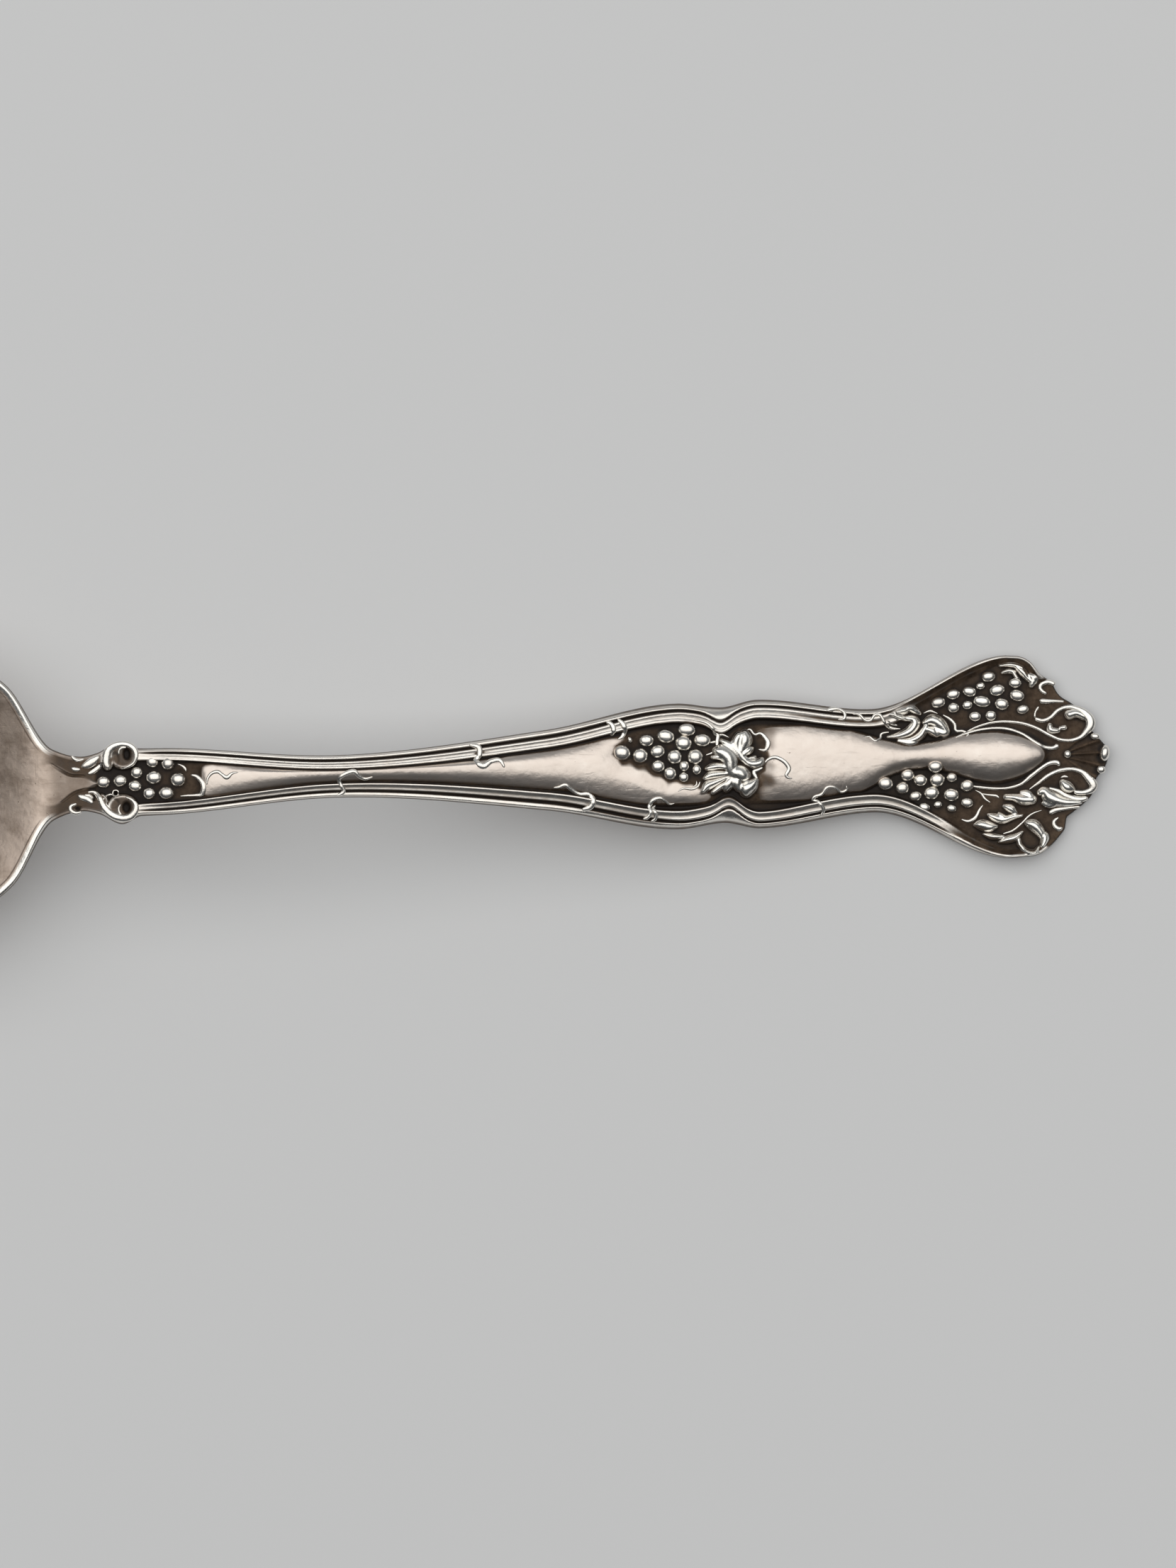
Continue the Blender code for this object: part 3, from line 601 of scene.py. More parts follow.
# %% Eyes, hollows and creases of the neck
EYES = neck_view.ovals(
    (938, 542, 30, 48), (936, 936, 32, 44), (578, 945, 24, 18), (855, 831, 11, 11),
)
HOLLOWS = neck_view.ovals(
    (850, 580, 30, 50), (842, 905, 40, 36),
)
CREASES = neck_view.paths(
    [(385, 618, 6), (440, 656, 10), (520, 698, 10), (620, 706, 8)],
    [(462, 896, 6), (540, 838, 10), (620, 806, 10), (700, 800, 8)],
)
EYE_DEPTH, HOLLOW_DEPTH, CREASE_DEPTH = 0.36, 0.32, 0.28
print("neck with", len(EYES), "eyes and", len(HOLLOWS), "hollows")

# %% One lobe as heights
LOBE_STEP, LOBE_SPREAD, LOBE_LEAST = 0.08, 1.5, 0.05
LOBE_HEIGHT, LOBE_STEEPNESS, LOBE_POWER = 0.20, 0.66, 1.35


def through_places(points, step):
    """Evenly spaced places on a smooth curve through the given ones."""
    p = np.array(points, float)
    p = np.concatenate([2 * p[:1] - p[1:2], p, 2 * p[-1:] - p[-2:-1]])
    u = np.linspace(0, 1, 24, endpoint=False)[:, None]
    spans = []
    for a, b, c, d in zip(p, p[1:], p[2:], p[3:]):
        bend = (2 * a - 5 * b + 4 * c - d) * u**2 + (3 * b - a - 3 * c + d) * u**3
        spans.append(0.5 * (2 * b + (c - a) * u + bend))
    path = np.concatenate([*spans, p[-2:-1]])
    length = np.concatenate([[0], np.cumsum(np.linalg.norm(np.diff(path[:, :2], axis=0), axis=1))])
    every = np.linspace(0, length[-1], max(int(length[-1] / step), 7) + 1)
    return every, np.stack([np.interp(every, length, column) for column in path.T], axis=1)


def lobe(s, t, points):
    """Height of one lobe at many places."""
    path = through_places(points, LOBE_STEP)[1]
    half = np.maximum(LOBE_SPREAD * path[:, 2], LOBE_LEAST)
    reach = half.max()
    height = np.zeros(s.shape)
    low, high = path[:, :2].min(axis=0) - reach, path[:, :2].max(axis=0) + reach
    box = (s > low[0]) & (s < high[0]) & (t > low[1]) & (t < high[1])
    off = np.hypot(s[box][:, None] - path[:, 0], t[box][:, None] - path[:, 1]) / half
    ridge = (LOBE_HEIGHT + LOBE_STEEPNESS * half) * np.clip(1 - off**2, 0, 1) ** LOBE_POWER
    height[box] = ridge.max(axis=1)
    return height


print("first lobe up to", round(float(lobe(S, T, WAIST_LEAVES[0]).max()), 2), "mm high")

# %% Leaves, shell and pits as heights
SHELL_S, SHELL_T = 97.05, 0.03
SHELL_STEP, SHELL_HALF = math.radians(17.5), 0.78
RIB_HEIGHT, RIB_SINK, RIB_POWER = 0.16, 0.10, 6


def shell(s, t):
    out = np.hypot(s - SHELL_S, t - SHELL_T)
    turn = np.arctan2(t - SHELL_T, s - SHELL_S)
    fan = swell((SHELL_HALF - np.abs(turn)) / 0.12) * swell((out - 0.7) / 0.8)
    rib = np.abs(np.cos(np.pi * (turn - 0.03) / SHELL_STEP)) ** RIB_POWER
    return fan * (RIB_HEIGHT * rib - RIB_SINK) * swell(5 - out)


def pits(s, t):
    """Depth of the volutes' eyes, of the shallower hollows beside them and of the creases on the tongue."""
    eyes = [swell((1.35 - spot(s, t, eye)) / 0.95) for eye in EYES]
    hollows = [HOLLOW_DEPTH * swell((1.3 - spot(s, t, hollow)) / 0.7) for hollow in HOLLOWS]
    creases = [CREASE_DEPTH * swell(lobe(s, t, points) / 0.2) for points in CREASES]
    return np.max(eyes + hollows + creases, axis=0)


def relief(s, t):
    height = np.zeros(s.shape)
    for points in WAIST_LEAVES + THROAT_LEAVES + UPPER_LEAVES + LOWER_LEAVES:
        height = np.maximum(height, lobe(s, t, points))
    return height


def softened(field):
    """The field evened out with its neighbours on the grid, so that no edge is saw-toothed."""
    for axis in (0, 1):
        here = np.arange(field.shape[axis])
        before, after = np.maximum(here - 1, 0), np.minimum(here + 1, here[-1])
        field = (field.take(before, axis) + 2 * field + field.take(after, axis)) / 4
    return field


leaves = relief(S, T)
print("leaves stand up to", round(float(leaves.max()), 2), "mm high")

# %% [markdown]
# ## The struck blank
#
# The blank could be one mesh, but four closed sections keep each one small enough to export whole. A
# section starts as a flat grid and is extruded once to a plate. Then the upper sheet is lifted to the
# struck face and the lower sheet to the back, as a die and its counter die would do it. The ends between
# sections are flat, so they meet without a line.

# %% Heights on the grid
LEAST_METAL = 0.05
TOP = np.where(S < 0, hollow_side(-S, T, D), face(S, T, D))
TOP = TOP + softened(leaves) + shell(S, T) - EYE_DEPTH * pits(S, T)
UNDER = np.where(S < 0, under_side(-S, T, D), back(S, D))
UNDER = np.minimum(UNDER, TOP - LEAST_METAL)
print("heights from", round(float(UNDER.min()), 2), "to", round(float(TOP.max()), 2), "mm")


# %% Sections of the blank
def place(s, t, z):
    """A place on the spoon as a point in metres."""
    return Vector(((NECK_X + s) * MM, t * MM, z * MM))


def section(first, last):
    """The rows from first to last as a closed plate. Its ends inside the spoon are flat cuts."""
    bm = bmesh.new()
    rows, columns = last - first + 1, S.shape[1]
    bmesh.ops.create_grid(bm, x_segments=rows - 1, y_segments=columns - 1, size=1)
    plate = bmesh.ops.extrude_face_region(bm, geom=bm.faces[:], use_keep_orig=True)
    upper = {g for g in plate["geom"] if isinstance(g, bmesh.types.BMVert)}
    cuts = {row for row in (first, last) if 0 < row < S.shape[0] - 1}
    row_of = {v: first + round((v.co.x + 1) / 2 * (rows - 1)) for v in bm.verts}
    for edge in bm.edges:
        a, b = edge.verts
        flat_end = row_of[a] == row_of[b] and row_of[a] in cuts
        edge.smooth = not flat_end
    for v, i in row_of.items():
        j = round((v.co.y + 1) / 2 * (columns - 1))
        v.co = place(S[i, j], T[i, j], TOP[i, j] if v in upper else UNDER[i, j])
    bmesh.ops.recalc_face_normals(bm, faces=bm.faces)
    return bm


def finish_mesh(name, bm):
    for f in bm.faces:
        f.smooth = True
    mesh = bpy.data.meshes.new(name)
    bm.to_mesh(mesh)
    bm.free()
    piece = bpy.data.objects.new(name, mesh)
    bpy.context.scene.collection.objects.link(piece)
    print(name, len(mesh.polygons), "faces")
    return piece


neck_row = BOWL_ROWS - 1
waist_row = neck_row + len(stem_rows)
fan_row = BOWL_ROWS + len(straight)
struck_bowl = finish_mesh("struck_bowl", section(0, neck_row))
struck_stem = finish_mesh("struck_stem", section(neck_row, waist_row))
struck_waist = finish_mesh("struck_waist", section(waist_row, fan_row))
struck_fan = finish_mesh("struck_fan", section(fan_row, S.shape[0] - 1))
blank = (struck_bowl, struck_stem, struck_waist, struck_fan)

# %% [markdown]
# ## Grapes
#
# There are four bunches: one at the neck, one at the waist and two at the wide end. Each grape is read as
# its place, its half length along the spoon and its half width. A grape could be a height too, but its
# side is too steep for the grid, so it is a sphere stretched to those sizes and sunk a little into the
# ground.

# %% Bunches of grapes
NECK_BUNCH = neck_view.ovals(
    (765, 748, 47, 40), (890, 738, 47, 41), (1012, 677, 42, 40), (1000, 778, 46, 38), (1128, 600, 43, 38),
    (1140, 715, 54, 44), (1105, 833, 43, 40), (1243, 612, 44, 42), (1232, 830, 52, 43),
)
NECK_BUNCH += [(9.6, 0.14, 0.7, 0.62)]
WAIST_BUNCH = waist_view.ovals(
    (212, 515, 62, 54), (355, 540, 57, 54), (405, 418, 55, 44), (493, 505, 55, 46), (557, 385, 65, 50),
    (697, 440, 62, 54), (723, 332, 67, 48), (845, 415, 62, 48), (627, 548, 55, 52), (791, 545, 58, 54),
    (497, 622, 50, 44), (592, 678, 47, 47), (704, 620, 38, 39), (803, 648, 34, 37), (700, 708, 37, 36),
    (277, 412, 17, 22),
)
UPPER_BUNCH = fan_view.ovals(
    (515, 388, 34, 25), (590, 345, 33, 24), (592, 412, 28, 24), (672, 330, 33, 24), (662, 398, 25, 20),
    (700, 455, 29, 23), (768, 255, 33, 25), (728, 302, 22, 17), (735, 380, 41, 27), (780, 450, 27, 24),
    (812, 323, 37, 27), (835, 393, 34, 28), (902, 287, 31, 23), (912, 350, 36, 27), (940, 420, 29, 21),
)
LOWER_BUNCH = corner_view.ovals(
    (110, 365, 57, 50), (285, 295, 52, 45), (245, 400, 50, 45), (387, 333, 52, 45), (348, 462, 47, 36),
    (505, 222, 54, 42), (520, 325, 57, 52), (475, 432, 58, 48), (637, 302, 41, 36), (632, 440, 59, 48),
    (757, 365, 51, 44), (757, 502, 47, 36), (420, 547, 43, 32), (527, 522, 33, 26), (635, 548, 37, 29),
)
SHELL_KNOBS = fan_view.ovals(
    (1352, 640, 24, 36), (1304, 556, 22, 15), (1334, 722, 20, 18), (1166, 645, 18, 18),
    (1285, 770, 14, 12),
)
GRAPE_LONG, GRAPE_WIDE, GRAPE_TALL, GRAPE_TURN = 1.12, 1.15, 0.9, 0.25
GRAPE_LIFT, KNOB_LIFT = 0.18, 0.3
EDGE_KEPT = 0.5


def seat(s, t):
    """Height of the face under an ornament, without the rim's groove and kept off the rounded edge."""
    s, t = np.asarray(s, float), np.asarray(t, float)
    most = np.where(s < 0, bowl_half_width(np.maximum(-s, 0)), half_width(s)) - EDGE_KEPT
    inside = np.clip(t, -most, most)
    edge = most + EDGE_KEPT - np.abs(inside)
    return np.where(s < 0, hollow_side(-s, inside, edge), face(np.maximum(s, 0), inside, edge, 0.0))


def grapes(name, bunches, lift):
    bm = bmesh.new()
    for s, t, long, wide in bunches:
        grape = bmesh.ops.create_uvsphere(bm, u_segments=22, v_segments=14, radius=1)
        sizes = (GRAPE_LONG * long * MM, GRAPE_WIDE * wide * MM, GRAPE_TALL * (wide + 0.05) * MM)
        size = Matrix.Diagonal((*sizes, 1))
        turn = Matrix.Rotation(GRAPE_TURN * math.sin(9.7 * s + 5.3 * t), 4, "Z")
        shift = Matrix.Translation(place(s, t, float(seat(s, t)) + lift * wide))
        bmesh.ops.transform(bm, matrix=shift @ turn @ size, verts=grape["verts"])
    return finish_mesh(name, bm)


grape_bunches = grapes("grape_bunches", NECK_BUNCH + WAIST_BUNCH + UPPER_BUNCH + LOWER_BUNCH, GRAPE_LIFT)
shell_knobs = grapes("shell_knobs", SHELL_KNOBS, KNOB_LIFT)

# %% [markdown]
# ## Strokes
#
# Tendrils, stalks, volutes, end scrolls and the small leaves at the neck are strokes: raised ridges that
# follow a few places on the face, each read with its own half width. A bevelled curve would do for a
# wire, but its section is round. A stroke is flatter, thickens where it turns and lies on an uneven face,
# so it is a grid of its own, rolled into a tube along its path, with its underside sunk in the metal.

# %% How a stroke is raised
STROKE_STEP, STROKE_LEAST, END_LEAST = 0.09, 0.03, 0.12
STROKE_SINK, STROKE_RISE, STROKE_ROOT, STROKE_POWER = 0.10, 0.12, 0.35, 0.85
RIDGE_POINTS = 11
BRIDGED = 3


def evened(values, reach):
    """The values averaged over a few neighbours, so that a stroke bridges a step in the face."""
    padded = np.concatenate([np.repeat(values[:1], reach), values, np.repeat(values[-1:], reach)])
    return np.convolve(padded, np.full(2 * reach + 1, 1 / (2 * reach + 1)), "valid")


def stroke_rings(points, steepness, spread):
    """Rings of places along one stroke. The last place of a ring is its root in the metal."""
    length, path = through_places(points, STROKE_STEP)
    along = np.gradient(path[:, :2], axis=0)
    along /= np.maximum(np.linalg.norm(along, axis=1, keepdims=True), 1e-9)
    side = np.stack([-along[:, 1], along[:, 0]], axis=1)
    half = np.maximum(spread * path[:, 2], STROKE_LEAST)
    from_end = np.minimum(length, length[-1] - length)
    half = half * np.maximum(round_over(from_end / half), END_LEAST)
    base = evened(seat(path[:, 0], path[:, 1]), BRIDGED)
    angle = np.linspace(np.pi, 0, RIDGE_POINTS)
    rings = []
    for (s, t, _), across, w, z in zip(path, side, half, base):
        x = np.cos(angle) * w
        crest = z - STROKE_SINK + (steepness * w + STROKE_RISE) * np.sin(angle) ** STROKE_POWER
        ring = [place(*p) for p in zip(s + across[0] * x, t + across[1] * x, crest)]
        rings.append([*ring, place(s, t, z - STROKE_ROOT)])
    return rings


def strokes(name, paths, steepness, spread):
    bm = bmesh.new()
    around = RIDGE_POINTS + 1
    for points in paths:
        rings = stroke_rings(points, steepness, spread)
        last = len(rings) - 1
        sheet = bmesh.ops.create_grid(bm, x_segments=last, y_segments=around, size=1)["verts"]
        at = {(round((v.co.x + 1) / 2 * last), round((v.co.y + 1) / 2 * around)): v for v in sheet}
        for (i, j), v in at.items():
            v.co = rings[i][j % around]
        bmesh.ops.weld_verts(bm, targetmap={at[i, around]: at[i, 0] for i in range(last + 1)})
    bmesh.ops.holes_fill(bm, edges=[e for e in bm.edges if e.is_boundary], sides=0)
    bmesh.ops.recalc_face_normals(bm, faces=bm.faces)
    return finish_mesh(name, bm)


print("a stroke has", RIDGE_POINTS + 1, "places around")

# %% Tendrils along the stem and at the waist
STEM_TENDRILS = near_stem_view.paths(
    [(505, 268, 8), (550, 285, 16), (580, 310, 18), (598, 345, 8)],
    [(640, 378, 14), (700, 395, 24), (752, 445, 28), (772, 510, 30), (750, 575, 28), (690, 585, 20),
     (600, 588, 16), (530, 592, 8)],
    [(802, 480, 10), (812, 415, 15), (850, 365, 18), (910, 348, 20), (955, 375, 18), (1005, 405, 24),
     (1055, 365, 16), (1120, 352, 6)],
)
STEM_TENDRILS += stem_view.paths(
    [(212, 484, 5), (240, 466, 9), (228, 440, 9), (222, 415, 9), (250, 395, 10), (282, 388, 10),
     (302, 406, 9), (325, 416, 7), (356, 408, 4)],
    [(735, 282, 6), (772, 292, 12), (776, 322, 12), (762, 346, 12), (790, 366, 13), (822, 348, 12),
     (856, 344, 10), (876, 372, 5)],
    [(1068, 452, 4), (1092, 448, 7), (1115, 440, 9), (1138, 458, 10), (1170, 476, 10), (1205, 478, 12),
     (1225, 502, 13), (1212, 528, 13), (1180, 538, 6)],
)
WAIST_TENDRILS = waist_view.paths(
    [(85, 268, 10), (130, 290, 20), (148, 335, 22), (122, 385, 16)],
    [(178, 248, 10), (218, 285, 22), (236, 335, 24), (216, 385, 20), (180, 410, 8)],
    [(632, 914, 5), (590, 920, 12), (552, 892, 14), (512, 872, 17), (460, 888, 20), (430, 935, 20),
     (440, 985, 19), (415, 1025, 17), (378, 1038, 8)],
    [(480, 928, 10), (462, 955, 17), (482, 1000, 18), (474, 1040, 17), (440, 1056, 8)],
    [(655, 822, 5), (700, 796, 10), (765, 802, 12), (812, 782, 11), (832, 740, 6)],
    [(770, 790, 4), (802, 765, 9), (802, 735, 5)],
    [(760, 256, 5), (830, 264, 12), (888, 284, 15), (932, 325, 16), (950, 362, 18), (972, 372, 18),
     (966, 425, 18), (962, 470, 16), (930, 512, 12), (875, 534, 6)],
    [(972, 372, 16), (1010, 372, 13), (1062, 394, 4)],
    [(905, 436, 10), (962, 426, 13)],
    [(1200, 334, 6), (1228, 332, 12), (1262, 370, 12), (1308, 362, 14), (1348, 398, 20), (1368, 440, 24),
     (1348, 492, 18), (1290, 488, 7)],
    [(1335, 600, 8), (1372, 566, 14), (1420, 550, 17), (1468, 566, 18), (1510, 600, 19), (1532, 642, 19),
     (1510, 690, 16), (1530, 712, 12), (1560, 718, 5)],
    [(1328, 630, 12), (1286, 650, 17), (1256, 664, 18), (1270, 702, 18), (1294, 742, 8)],
)
print("stem and waist with", len(STEM_TENDRILS + WAIST_TENDRILS), "tendrils")

# %% Tendrils and stalks at the wide end
THROAT_TENDRILS = throat_view.paths(
    [(552, 188, 6), (580, 178, 15), (625, 176, 9), (662, 200, 11), (660, 234, 11), (622, 240, 5)],
    [(712, 206, 5), (750, 208, 9), (790, 244, 10), (822, 244, 10), (852, 210, 10), (884, 216, 11),
     (912, 262, 12), (950, 292, 12), (1010, 296, 5)],
    [(920, 240, 4), (952, 264, 9), (992, 276, 5)],
    [(778, 350, 4), (815, 346, 8), (848, 370, 10), (880, 356, 11), (892, 326, 10), (940, 316, 5)],
    [(516, 832, 6), (534, 792, 13), (502, 746, 13), (468, 734, 12), (482, 712, 12), (522, 698, 12),
     (556, 656, 12), (600, 656, 11), (640, 684, 11), (676, 672, 10), (674, 646, 5)],
    [(1148, 196, 4), (1190, 180, 9), (1240, 196, 5)],
    [(1268, 200, 5), (1312, 226, 11), (1342, 258, 12), (1350, 296, 11), (1392, 298, 10), (1424, 316, 8),
     (1412, 332, 5)],
)
LEAF_STALKS = corner_view.paths(
    [(822, 402, 4), (868, 428, 10), (902, 472, 12), (946, 502, 5)],
    [(868, 430, 6), (930, 440, 10), (990, 448, 13), (1014, 468, 8)],
    [(886, 518, 5), (858, 556, 13), (826, 616, 17), (770, 648, 16), (712, 634, 8)],
    [(1350, 560, 5), (1292, 580, 9), (1242, 610, 10), (1192, 662, 10), (1120, 720, 10), (1040, 748, 8)],
)
all_tendrils = STEM_TENDRILS + WAIST_TENDRILS + THROAT_TENDRILS + LEAF_STALKS
tendrils = strokes("tendrils", all_tendrils, steepness=0.55, spread=1.0)

# %% [markdown]
# The neck has a pair of volutes with small leaves between them. At the wide end two long lines run along
# each side of the drop, and the outer ones sweep round into a scroll at the edge. They are the same
# strokes, only fuller.

# %% Volutes and leaves at the neck
VOLUTES = neck_view.paths(
    [(808, 652, 18), (788, 612, 26), (788, 560, 29), (804, 515, 27), (845, 482, 24), (900, 468, 21),
     (955, 476, 20), (995, 510, 20), (1008, 555, 18), (990, 606, 14), (945, 636, 11), (890, 650, 7)],
    [(880, 548, 6), (882, 516, 10), (904, 496, 11), (936, 494, 8)],
    [(530, 552, 8), (548, 576, 12), (582, 590, 13), (625, 578, 7)],
    [(650, 822, 8), (700, 826, 15), (738, 866, 19), (772, 935, 23), (830, 990, 26), (900, 1015, 25),
     (962, 1005, 25), (1000, 965, 24), (1006, 920, 19), (976, 880, 12), (928, 858, 7)],
    [(900, 992, 10), (882, 968, 10), (880, 938, 8), (894, 912, 6)],
    [(765, 884, 6), (780, 856, 9), (815, 840, 9), (840, 846, 7)],
    [(877, 830, 7), (871, 848, 7), (855, 853, 7), (838, 846, 7), (833, 830, 7), (839, 814, 7),
     (855, 808, 7), (871, 814, 7), (877, 830, 7)],
    [(608, 968, 8), (562, 977, 13), (526, 956, 15), (530, 926, 14), (572, 907, 9)],
)
NECK_LEAVES = neck_view.paths(
    [(600, 634, 8), (640, 624, 20), (690, 594, 22), (736, 556, 9)],
    [(528, 644, 8), (560, 656, 13), (600, 656, 8)],
    [(650, 690, 8), (690, 670, 15), (735, 630, 15), (752, 600, 8)],
    [(578, 846, 8), (610, 862, 16), (650, 876, 16), (692, 906, 9)],
    [(622, 846, 7), (662, 852, 11), (692, 878, 8)],
)
volutes = strokes("volutes", VOLUTES, steepness=0.62, spread=1.12)
neck_leaves = strokes("neck_leaves", NECK_LEAVES, steepness=0.62, spread=1.5)

# %% Scrolls at the end
END_SCROLLS = tip_view.paths(
    [(382, 526, 12), (440, 540, 13), (492, 518, 13), (540, 472, 13), (600, 450, 13), (655, 456, 14),
     (712, 484, 20), (752, 530, 26), (756, 572, 26), (732, 612, 20), (694, 650, 14), (640, 670, 12),
     (590, 672, 11), (540, 662, 10), (470, 630, 10), (400, 592, 10), (310, 560, 10), (200, 546, 9),
     (100, 552, 8), (0, 580, 7), (-70, 612, 4)],
    [(-150, 655, 4), (-80, 628, 8), (0, 606, 9), (100, 592, 9), (200, 596, 10), (300, 630, 10),
     (380, 682, 11), (440, 716, 12), (500, 724, 12), (532, 712, 15), (548, 704, 14)],
    [(-60, 976, 5), (15, 986, 9), (110, 995, 9), (200, 992, 9), (290, 966, 10), (360, 910, 12),
     (430, 856, 12), (480, 826, 13), (530, 820, 14), (554, 842, 12)],
    [(345, 1004, 5), (420, 950, 10), (480, 906, 12), (560, 872, 12), (640, 866, 13), (702, 886, 16),
     (748, 930, 22), (776, 972, 24), (760, 1006, 19), (712, 1022, 15), (664, 1020, 14), (648, 1004, 8)],
    [(476, 992, 8), (540, 1012, 14), (600, 1048, 17), (680, 1068, 18), (742, 1056, 12)],
    [(478, 1162, 14), (520, 1142, 15), (580, 1130, 13), (690, 1116, 7)],
    [(545, 1188, 6), (514, 1216, 12), (518, 1246, 13), (545, 1266, 14), (572, 1256, 9)],
    [(522, 298, 14), (480, 282, 14), (440, 290, 14), (420, 314, 13), (432, 342, 12), (466, 360, 8)],
    [(412, 402, 12), (445, 410, 16), (520, 410, 11), (582, 412, 7)],
    [(412, 444, 9), (388, 484, 7), (384, 520, 9)],
    [(556, 924, 5), (582, 914, 9), (612, 920, 5)],
)
scrolls = strokes("scrolls", END_SCROLLS, steepness=0.75, spread=1.3)
ornaments = (grape_bunches, tendrils, volutes, neck_leaves, scrolls, shell_knobs)

# %% [markdown]
# ## Where the tarnish stays, and where shade is painted
#
# Polish reaches the high places and leaves the hollows black. A shader could ask for the surface's
# pointiness, but that sees only the nearest corners. So a height map of the whole handle, less a blurred
# copy of itself, tells which places stand out and which lie low. Each corner of each mesh keeps that as
# a tarnish attribute, from 0 on polished metal to 1 in the darkest hollow. It also carries painted shade:
# the low places are darkened where shade falls as well as where tarnish lies, and painted shade is added
# on the outer edges, inside the lower rim, on the bowl's upper side and in a line inside the bowl's rim.
# A second one, `haze`, says how dull the metal is: the bowl all over, the ground and the raised middle
# by half, and the ornaments hardly.

# %% A height map of the handle
CELL, MAP_START = 0.1, -4
MAP_S, MAP_T = 1080, 230
MAP_HALF = MAP_T * CELL / 2
NEAR, WIDE = 0.25, 0.8
map_s = (np.arange(MAP_S) + 0.5) * CELL + MAP_START
map_t = (np.arange(MAP_T) + 0.5) * CELL - MAP_HALF
grid_s, grid_t = np.meshgrid(map_s, map_t, indexing="ij")
bowl_p, handle_s = np.maximum(-grid_s, 0), np.maximum(grid_s, 0)
map_half = np.where(grid_s < 0, bowl_half_width(bowl_p), half_width(grid_s))
map_edge = np.maximum(map_half - np.abs(grid_t), 0)


def level(s):
    """Height of the rims' crests, from which the relief is measured."""
    return np.where(s < 0, rim_line(np.maximum(-s, 0)), back_height(s) + thickness(s))


heights = np.where(grid_s < 0, hollow_side(bowl_p, grid_t, map_edge), face(handle_s, grid_t, map_edge))
heights = heights - level(grid_s) + relief(grid_s, grid_t) + shell(grid_s, grid_t)


def corners_of(piece):
    co = np.empty(len(piece.data.vertices) * 3)
    piece.data.vertices.foreach_get("co", co)
    co = co.reshape(-1, 3) / MM
    return co[:, 0] - NECK_X, co[:, 1], co[:, 2]


def cell(s, t):
    i = np.clip(((s - MAP_START) / CELL).astype(int), 0, MAP_S - 1)
    j = np.clip(((t + MAP_HALF) / CELL).astype(int), 0, MAP_T - 1)
    return i, j


for piece in ornaments:
    s, t, z = corners_of(piece)
    np.maximum.at(heights, cell(s, t), z - level(s))


def blurred(field, radius):
    """A soft blur: three box filters one after another, along each direction."""
    n = max(int(radius / CELL), 1)
    for axis in (0, 1) * 3:
        first, last = field.take([0], axis), field.take([-1], axis)
        padded = np.concatenate([np.repeat(first, n + 1, axis), field, np.repeat(last, n, axis)], axis)
        total = np.cumsum(padded, axis)
        size, span = field.shape[axis], 2 * n + 1
        field = (total.take(range(span, span + size), axis) - total.take(range(size), axis)) / span
    return field


around_near, around_wide = blurred(heights, NEAR), blurred(heights, WIDE)
print("height map of", MAP_S, "by", MAP_T, "cells")


# %% Tarnish of the rim and the lip
GROOVE_DARK, INNER_DARK = 1.5, 0.95
UPPER_HOLLOW_DARK, LATE_DARK, LOWER_HOLLOW_DARK = 0.30, 0.28, 0.34
DARK_HOLLOW_AT, UPPER_DARK_HALF, LOWER_DARK_HALF = 0.73, 0.09, 0.14
LIP_DARK, LIP_FADE = 0.62, 0.14


def on_field(s, t, d):
    """1 inside the rim's inner line."""
    return swell((rim_line_at(s, t, d)[0] - 1.0) / 0.2)


def rim_tarnish(s, t, d):
    """Dark lines on the rim: its groove, its hollow and the line inside it."""
    x, band = rim_line_at(s, t, d)
    inner_line = INNER_DARK * band * swell((x - 1.0) / 0.08) * swell((1.28 - x) / 0.16)
    late = swell((s - 68) / 6)
    strength = np.where(t > 0, UPPER_HOLLOW_DARK + LATE_DARK * late, LOWER_HOLLOW_DARK)
    half = np.where(t > 0, UPPER_DARK_HALF, LOWER_DARK_HALF) + 0.05 * late
    hollow = strength * band * bump((x - DARK_HOLLOW_AT) / half)
    return np.max([GROOVE_DARK * groove(s, t, d), inner_line, hollow], axis=0)


def lip_tarnish(s, t, d):
    """The dark slope inside the plain lip of the wide end."""
    lip = np.where(t > 0, 0.20, lower_lip(s) + 0.08)
    slope = swell((d - lip) / 0.12) * swell((1.5 - d) / 0.4)
    strength = LIP_DARK - LIP_FADE * swell((d - lip - 0.25) / 0.4)
    return opening(s, t) * (1 - at_tip(s)) * slope * strength


print("rim lines as dark as", round(float(rim_tarnish(S, T, D).max()), 2))

# %% Tarnish and painted shade of the ground, the neck and the bowl
# A soft darkening of the field right of the waist's bed and on the waist's lower side.
DARKER_RIGHT, DARKER_BELOW = (0.5, 66.6, 1.9), (0.5, 63, 3.5)
GROUND_DARK = 0.58
THROAT_DARK, BESIDE_TONGUE, PIT_DARK, DISC_DARK = 0.34, 0.16, 0.82, 0.5
# Painted shade: a line inside the bowl's rim, the bowl's upper side, a band inside the lower rim, the edges.
BEAD, BOWL_SHADE, LOWER_RIM_SHADE, EDGE_SHADE = (0.4, 0.85, 0.1), 0.2, (0.55, 1.1, 0.42), 0.5


